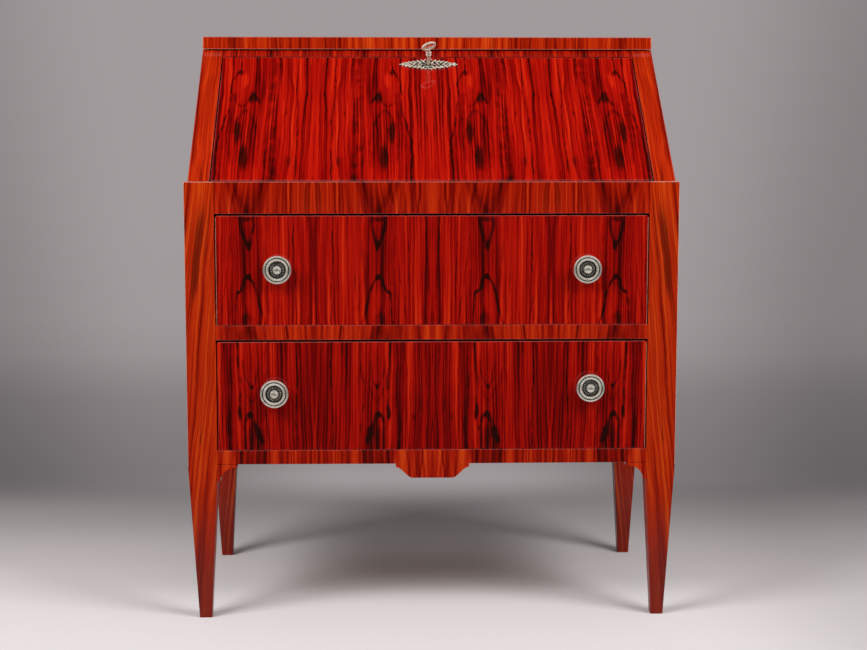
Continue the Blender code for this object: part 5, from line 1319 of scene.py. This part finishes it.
# %% Key
KEY_TURN_DEG = 27.0
KEY_REACH = 0.050
BOW_HALF_WIDTH = 0.0122
BOW_HALF_HEIGHT = 0.0064
BOW_BAR = 0.0023
BOW_MIDDLE = KEY_REACH - BOW_HALF_HEIGHT - BOW_BAR
BOW_STEPS = 48
SHANK = 0.0027
SHANK_FOOT = -0.0100
KEY_SECTION = ((0.0, SHANK_FOOT), (SHANK, SHANK_FOOT), (SHANK, -0.001), (SHANK, 0.004),
               (0.0030, 0.0190), (0.0036, 0.0204), (0.0049, 0.0218), (0.0050, 0.0234), (0.0040, 0.0250),
               (0.0036, 0.0256), (0.0048, 0.0268), (0.0049, 0.0282), (0.0038, 0.0296), (0.0030, 0.0308),
               (0.0028, 0.0350), (0.0, 0.0354))
KEY_SPIN_STEPS = 32
BOW_POINTS = ((-0.0050, 0.0062), (0.0, 0.0072), (0.0050, 0.0062))
POINT_FOOT, POINT_TIP = 0.0024, 0.0007
BIT_SIZE = (0.0022, 0.010, 0.0036)
BIT_RISE = 0.0022


def build_key():
    """The key, upright on the origin with its bow in the XZ plane."""
    body = bmesh.new()
    spin_section(body, soft_line(KEY_SECTION, 2), KEY_SPIN_STEPS)
    rings = []
    for step in range(BOW_STEPS):
        turn = math.tau * step / BOW_STEPS
        centre = Vector((BOW_HALF_WIDTH * math.cos(turn), 0,
                         BOW_MIDDLE + BOW_HALF_HEIGHT * math.sin(turn)))
        heading = Vector((-BOW_HALF_WIDTH * math.sin(turn), 0, BOW_HALF_HEIGHT * math.cos(turn)))
        facing = heading.to_track_quat("Z", "Y").to_matrix().to_4x4()
        made = bmesh.ops.create_circle(body, segments=12, radius=BOW_BAR,
                                       matrix=Matrix.Translation(centre) @ facing)
        rings.append(list({edge for vert in made["verts"] for edge in vert.link_edges}))
    for ring, after in zip(rings, rings[1:] + rings[:1]):
        bmesh.ops.bridge_loops(body, edges=ring + after)
    foot = BOW_MIDDLE - BOW_HALF_HEIGHT
    for x, height in BOW_POINTS:
        bmesh.ops.create_cone(body, cap_ends=True, segments=12, radius1=POINT_FOOT,
                              radius2=POINT_TIP, depth=height,
                              matrix=Matrix.Translation((x, 0, foot + height / 2)))
    bmesh.ops.recalc_face_normals(body, faces=body.faces)
    smooth_all(body)
    bit_place = Matrix.Translation((0, -BIT_SIZE[1] / 2, SHANK_FOOT + BIT_RISE))
    bmesh.ops.create_cube(body, size=1.0, matrix=bit_place @ Matrix.Diagonal((*BIT_SIZE, 1)))
    turned = on_plate @ Matrix.Rotation(math.radians(KEY_TURN_DEG), 4, "Z")
    bmesh.ops.transform(body, matrix=turned, verts=body.verts)
    return body


put("key_finished", build_key(), [cast], "key", "brass", "key")

# %% [markdown]
# ## Hinges, stays and lock
#
# These are cut from brass strip, and the bolt is steel. Copies with merged corners can be shaded
# smooth where they curve and stay crisp where they turn, which loose CAD triangles can't.

# %% Brass fittings
FITTING_TURN = math.radians(35)
METALS = {"brass": brass, "steel": steel}
polished = []
for node, thing in nodes.items():
    slot = thing.data.materials[0].name
    if slot in METALS and not node.endswith("knob") and node != "key":
        body = copy_node(node)
        smooth_all(body)
        piece = put(f"{node}_polished", body, [METALS[slot]], body_of[node], slot, node)
        piece.data.set_sharp_from_angle(angle=FITTING_TURN)
        polished.append(node)
print("fittings polished:", len(polished))

# %% [markdown]
# ## Screws
#
# Leaves and plates are held by small slotted screws. The widest face that looks the right way is
# found on each fitting, and the heads go along its long side. A head is a spun cap with a dark bar
# for its slot, whose near-black colour is painted shade, and every slot stands at its own angle, as
# a screwdriver leaves it.

# %% Screws
SCREW_RADIUS = 0.0024
SCREW_RISE = 0.0004
SCREW_INSET = 0.0065
SCREW_STEPS = 24
SCREW_SECTION = ((0.0, 0.0), (SCREW_RADIUS, 0.0), (SCREW_RADIUS, 0.4 * SCREW_RISE),
                 (0.8 * SCREW_RADIUS, 0.9 * SCREW_RISE), (0.0, SCREW_RISE))
SLOT_FIRST_TURN, SLOT_NEXT_TURN = 0.7, 1.9
SQUARE_SHARE = 0.98
SLOT_SIZE = (1.8 * SCREW_RADIUS, 0.32 * SCREW_RADIUS, 0.4 * SCREW_RISE)


def widest_face(body, wanted):
    """The widest face of a bmesh that looks the wanted way."""
    return max((face for face in body.faces if face.normal.dot(wanted) > SQUARE_SHARE),
               key=lambda face: face.calc_area())


def make_screw(place):
    """A slotted screw head, made on the origin and set in its place, as a mesh."""
    head = bmesh.new()
    spin_section(head, SCREW_SECTION, SCREW_STEPS)
    smooth_all(head)
    # The slot is a raised bar in the near-black metal, not a cut: painted shade for its depth.
    slot = Matrix.Translation((0, 0, SCREW_RISE)) @ Matrix.Diagonal((*SLOT_SIZE, 1))
    made = bmesh.ops.create_cube(head, size=1.0, matrix=slot)
    for face in {face for vert in made["verts"] for face in vert.link_faces}:
        face.material_index = 1
    bmesh.ops.transform(head, matrix=place, verts=head.verts)
    screw = bpy.data.meshes.new("screw")
    head.to_mesh(screw)
    head.free()
    return screw


def add_screws(node, wanted, count):
    """Screw heads in a row on the widest face of a fitting."""
    fitting = copy_node(node)
    face = widest_face(fitting, wanted)
    corners = [vert.co.copy() for vert in face.verts]
    longest = max(face.edges, key=lambda edge: edge.calc_length())
    along = (longest.verts[1].co - longest.verts[0].co).normalized()
    across = wanted.cross(along)
    spans = [[corner.dot(way) for corner in corners] for way in (along, across)]
    middle = [(min(span) + max(span)) / 2 for span in spans]
    reach = (max(spans[0]) - min(spans[0])) / 2 - SCREW_INSET
    level = corners[0].dot(wanted)
    fitting.free()
    body = bmesh.new()
    for index in range(count):
        share = 2 * index / (count - 1) - 1
        place = along * (middle[0] + reach * share) + across * middle[1] + wanted * level
        axes = Matrix((along, across, wanted)).transposed().to_4x4()
        turn = Matrix.Rotation(SLOT_FIRST_TURN + SLOT_NEXT_TURN * index, 4, "Z")
        screw = make_screw(Matrix.Translation(place) @ axes @ turn)
        body.from_mesh(screw)
        bpy.data.meshes.remove(screw)
    put(f"{node}_screws", body, [brass, dark_metal], body_of[node], "brass")
    return count


screws = 0
for side_name, side in (("left", -1), ("right", 1)):
    screws += add_screws(f"{side_name}_hinge_board_leaf", Vector((0, 0, 1)), 3)
    screws += add_screws(f"{side_name}_hinge_fall_leaf", -OUT, 3)
    screws += add_screws(f"{side_name}_stay_gable_plate", Vector((-side, 0, 0)), 2)
    screws += add_screws(f"{side_name}_stay_fall_bracket", -OUT, 2)
print("screws:", screws)

# %% [markdown]
# ## Floor and backdrop
#
# The desk stands in a plain studio. One sheet runs from the floor up into the wall with a wide
# curve, so no corner shows. Near the desk it is matt card, faintly pink in front, which catches
# the shadows. Its colour is painted darker towards the back and on the right: painted shade, where
# the light of the boxes falls off. Farther back it shades from a dark band to mid grey. There it
# gives its own light, but only to the camera, to gloss and to glass, so that the grey stays as it is
# and no extra light falls on the desk. That glow is dimmer to both sides, and a painted pool of
# light brightens it behind the desk.
#
# Two more rules keep the wood deep. Gloss sees the front of the floor nearly black, and the card
# throws back only a share of the light that it shows.

# %% Sweep
SWEEP_FRONT = -14.0
SWEEP_BACK = 5.5
SWEEP_CURVE = 1.2
SWEEP_TOP = 5.0
SWEEP_HALF = 15.0
SWEEP_STEPS = 24
# The card's own colour falls from front to back: painted shade where the light falls off.
CARD_STOPS = ((-0.45, 0.93, 0.62), (0.10, 0.93, 0.62), (0.34, 0.77, 0.7), (0.50, 0.62, 0.8),
              (0.80, 0.44, 1.0), (1.3, 0.34, 1.0))
GLOW_STOPS = ((0.6, 0.215, 1.0), (1.03, 0.205, 1.0), (1.58, 0.225, 1.0), (2.09, 0.245, 1.0),
              (3.0, 0.32, 1.0), (4.0, 0.35, 1.0), (5.5, 0.36, 1.0), (7.0, 0.36, 1.0))
CARD_TINT = (1.0, 0.905, 0.925)
CAMERA_AWAY = 3.1
GLOW_SIDES = (0.14, 0.26, 1.0, 0.66)
# A painted pool of light on the glow behind the desk, between the legs.
LIGHT_POOL_SIDES = (0.15, 0.62, 1.0, 0.0)
LIGHT_POOL_START = (0.50, 0.75)
LIGHT_POOL_END = (0.9, 1.5, 1.0, 0.0)
LIGHT_POOL_GAIN = 0.7
GLOW_START = (0.60, 0.95)
# The card is painted darker on the right: painted shade.
RIGHT_PAINTED_SHADE = (0.42, 0.80, 1.0, 0.78)
BOUNCE_SHARE = 0.35
NIGHT_END = (-1.35, -0.95, 1.0, 0.0)
NIGHT_COLOUR = (0.02, 0.02, 0.02, 1.0)


def build_card():
    """Matt card near the desk that fades into a backdrop which only the camera sees lit."""
    material, tree, shader = new_material("studio_card", Roughness=0.9, Specular_IOR_Level=0.1)
    x, y, z = split_axes(tree, tree.nodes.new("ShaderNodeTexCoord").outputs["Object"])
    run = calc(tree, "ADD", y, z)

    def graded(stops):
        """A grey that changes from the front of the floor to the top of the wall."""
        start, end = stops[0][0], stops[-1][0]
        share = calc(tree, "DIVIDE", calc(tree, "SUBTRACT", run, start), end - start)
        return ramp(tree, share, [((place - start) / (end - start),
                                   [value * (1.0 - tinted * (1.0 - tint)) for tint in CARD_TINT])
                                  for place, value, tinted in stops])

    def shaded(colour, grey):
        """A colour made darker or lighter by a grey."""
        return blend_colour(tree, 1.0, colour, join_axes(tree, grey, grey, grey), "MULTIPLY")

    aside = calc(tree, "ABSOLUTE", x)
    spread = calc(tree, "DIVIDE", aside, calc(tree, "ADD", run, CAMERA_AWAY))
    # Painted pool of light: the glow is brightened behind the desk.
    light_pool = calc(tree, "MULTIPLY", step_between(tree, aside, *LIGHT_POOL_SIDES),
                calc(tree, "MULTIPLY", step_between(tree, run, *LIGHT_POOL_START),
                     step_between(tree, run, *LIGHT_POOL_END)))
    light_pool = calc(tree, "ADD", 1.0, calc(tree, "MULTIPLY", light_pool, LIGHT_POOL_GAIN))
    grey = shaded(graded(GLOW_STOPS),
                  calc(tree, "MULTIPLY", step_between(tree, spread, *GLOW_SIDES), light_pool))
    card = shaded(graded(CARD_STOPS), step_between(tree, x, *RIGHT_PAINTED_SHADE))
    dimmed = blend_colour(tree, 1.0, card, (BOUNCE_SHARE,) * 3 + (1.0,), "MULTIPLY")
    rays = tree.nodes.new("ShaderNodeLightPath").outputs
    tree.links.new(blend_colour(tree, rays["Is Diffuse Ray"], card, dimmed), shader["Base Color"])
    seen = calc(tree, "MAXIMUM", rays["Is Camera Ray"],
                calc(tree, "MAXIMUM", rays["Is Glossy Ray"], rays["Is Transmission Ray"]))
    glow = tree.nodes.new("ShaderNodeEmission")
    tree.links.new(grey, glow.inputs["Color"])
    mixer = tree.nodes.new("ShaderNodeMixShader")
    far = step_between(tree, run, *GLOW_START)
    tree.links.new(calc(tree, "MULTIPLY", far, seen), mixer.inputs[0])
    tree.links.new(tree.nodes["Principled BSDF"].outputs[0], mixer.inputs[1])
    tree.links.new(glow.outputs[0], mixer.inputs[2])
    night = tree.nodes.new("ShaderNodeEmission")
    night.inputs["Color"].default_value = NIGHT_COLOUR
    outer = tree.nodes.new("ShaderNodeMixShader")
    front = step_between(tree, y, *NIGHT_END)
    tree.links.new(calc(tree, "MULTIPLY", front, rays["Is Glossy Ray"]), outer.inputs[0])
    tree.links.new(mixer.outputs[0], outer.inputs[1])
    tree.links.new(night.outputs[0], outer.inputs[2])
    tree.links.new(outer.outputs[0], tree.nodes["Material Output"].inputs[0])
    return material


def build_sweep():
    """The sheet of card: a line drawn back along the floor, round a curve and up the wall."""
    body = bmesh.new()
    start = body.verts.new((-SWEEP_HALF, SWEEP_FRONT, 0))
    turn_at = body.verts.new((-SWEEP_HALF, SWEEP_BACK - SWEEP_CURVE, 0))
    body.edges.new((start, turn_at))
    centre = (-SWEEP_HALF, SWEEP_BACK - SWEEP_CURVE, SWEEP_CURVE)
    made = bmesh.ops.spin(body, geom=[turn_at], cent=centre, axis=(1, 0, 0), angle=math.pi / 2,
                          steps=SWEEP_STEPS)
    last = [item for item in made["geom_last"] if isinstance(item, bmesh.types.BMVert)]
    risen = bmesh.ops.extrude_vert_indiv(body, verts=last)["verts"]
    bmesh.ops.translate(body, verts=risen, vec=(0, 0, SWEEP_TOP - SWEEP_CURVE))
    wide = bmesh.ops.extrude_edge_only(body, edges=body.edges)["geom"]
    moved = [item for item in wide if isinstance(item, bmesh.types.BMVert)]
    bmesh.ops.translate(body, verts=moved, vec=(2 * SWEEP_HALF, 0, 0))
    bmesh.ops.recalc_face_normals(body, faces=body.faces)
    smooth_all(body)
    mesh = bpy.data.meshes.new("sweep")
    body.to_mesh(mesh)
    body.free()
    sweep = bpy.data.objects.new("sweep", mesh)
    bpy.context.scene.collection.objects.link(sweep)
    mesh.materials.append(build_card())
    return sweep


sweep = build_sweep()
print("sweep faces:", len(sweep.data.polygons))

# %% [markdown]
# ## Light
#
# Two large soft boxes stand in front of the desk, left and right, above its top. They light the
# wood but are left out of its gloss, where their mirror images would be hard white patches.
#
# What the gloss mirrors is the sky. Gloss shows whatever lies straight before it, so the sky is
# dark there and the lacquer keeps its depth. It is bright to both sides and high in front, so that
# round edges and knobs catch it. All other light from the sky is dim and even, and fills the
# shadows.

# %% Soft boxes and sky
BOX_WIDTH = 1.2
BOX_HEIGHT = 1.0
BOX_WATTS = 40.0
MORE_ON_LEFT = 1.8
BOX_ASIDE, BOX_BACK, BOX_UP = 1.7, -1.45, 2.1
LIT_POINT = Vector((0, -0.1, 0.62))
SKY_LEVEL = (0.25, 0.25, 0.25, 1.0)
SKY_SEEN = (0.30, 0.28, 0.285, 1.0)
GLOSS_LEVELS = (0.0, 1.0, 0.004, 0.85)
BESIDE_SIDE, BESIDE_RISE = (0.28, 0.55), (0.0, 0.3)
ABOVE_FRONT, ABOVE_RISE = (-0.35, -0.10, 1.0, 0.0), (0.22, 0.5)


def add_box_light(name, place, watts):
    """A soft box that looks at the desk."""
    data = bpy.data.lights.new(name, "AREA")
    data.shape = "RECTANGLE"
    data.size, data.size_y = BOX_WIDTH, BOX_HEIGHT
    data.energy = watts
    box = bpy.data.objects.new(name, data)
    bpy.context.scene.collection.objects.link(box)
    box.visible_glossy = False
    heading = LIT_POINT - Vector(place)
    facing = heading.to_track_quat("-Z", "Y").to_matrix().to_4x4()
    box.matrix_world = Matrix.Translation(place) @ facing
    return box


def build_sky():
    """A sky that is dim as light, patterned in gloss and plain to the camera."""
    world = bpy.data.worlds.new("sky")
    world.use_nodes = True
    sky = world.node_tree
    rays = sky.nodes.new("ShaderNodeLightPath").outputs
    x, y, z = split_axes(sky, sky.nodes.new("ShaderNodeTexCoord").outputs["Generated"])
    aside = calc(sky, "ABSOLUTE", x)
    beside = calc(sky, "MULTIPLY", step_between(sky, aside, *BESIDE_SIDE),
                  step_between(sky, z, *BESIDE_RISE))
    above = calc(sky, "MULTIPLY", step_between(sky, y, *ABOVE_FRONT),
                 step_between(sky, z, *ABOVE_RISE))
    bright = step_between(sky, calc(sky, "MAXIMUM", beside, above), *GLOSS_LEVELS)
    colour = blend_colour(sky, rays["Is Glossy Ray"], SKY_LEVEL,
                          join_axes(sky, bright, bright, bright))
    colour = blend_colour(sky, rays["Is Camera Ray"], colour, SKY_SEEN)
    sky.links.new(colour, sky.nodes["Background"].inputs["Color"])
    return world


boxes = [add_box_light(f"{name}_soft_box", (side * BOX_ASIDE, BOX_BACK, BOX_UP),
                       BOX_WATTS - side * MORE_ON_LEFT)
         for name, side in (("left", -1), ("right", 1))]
bpy.context.scene.world = build_sky()
print("soft boxes, in watts:", [box.data.energy for box in boxes])
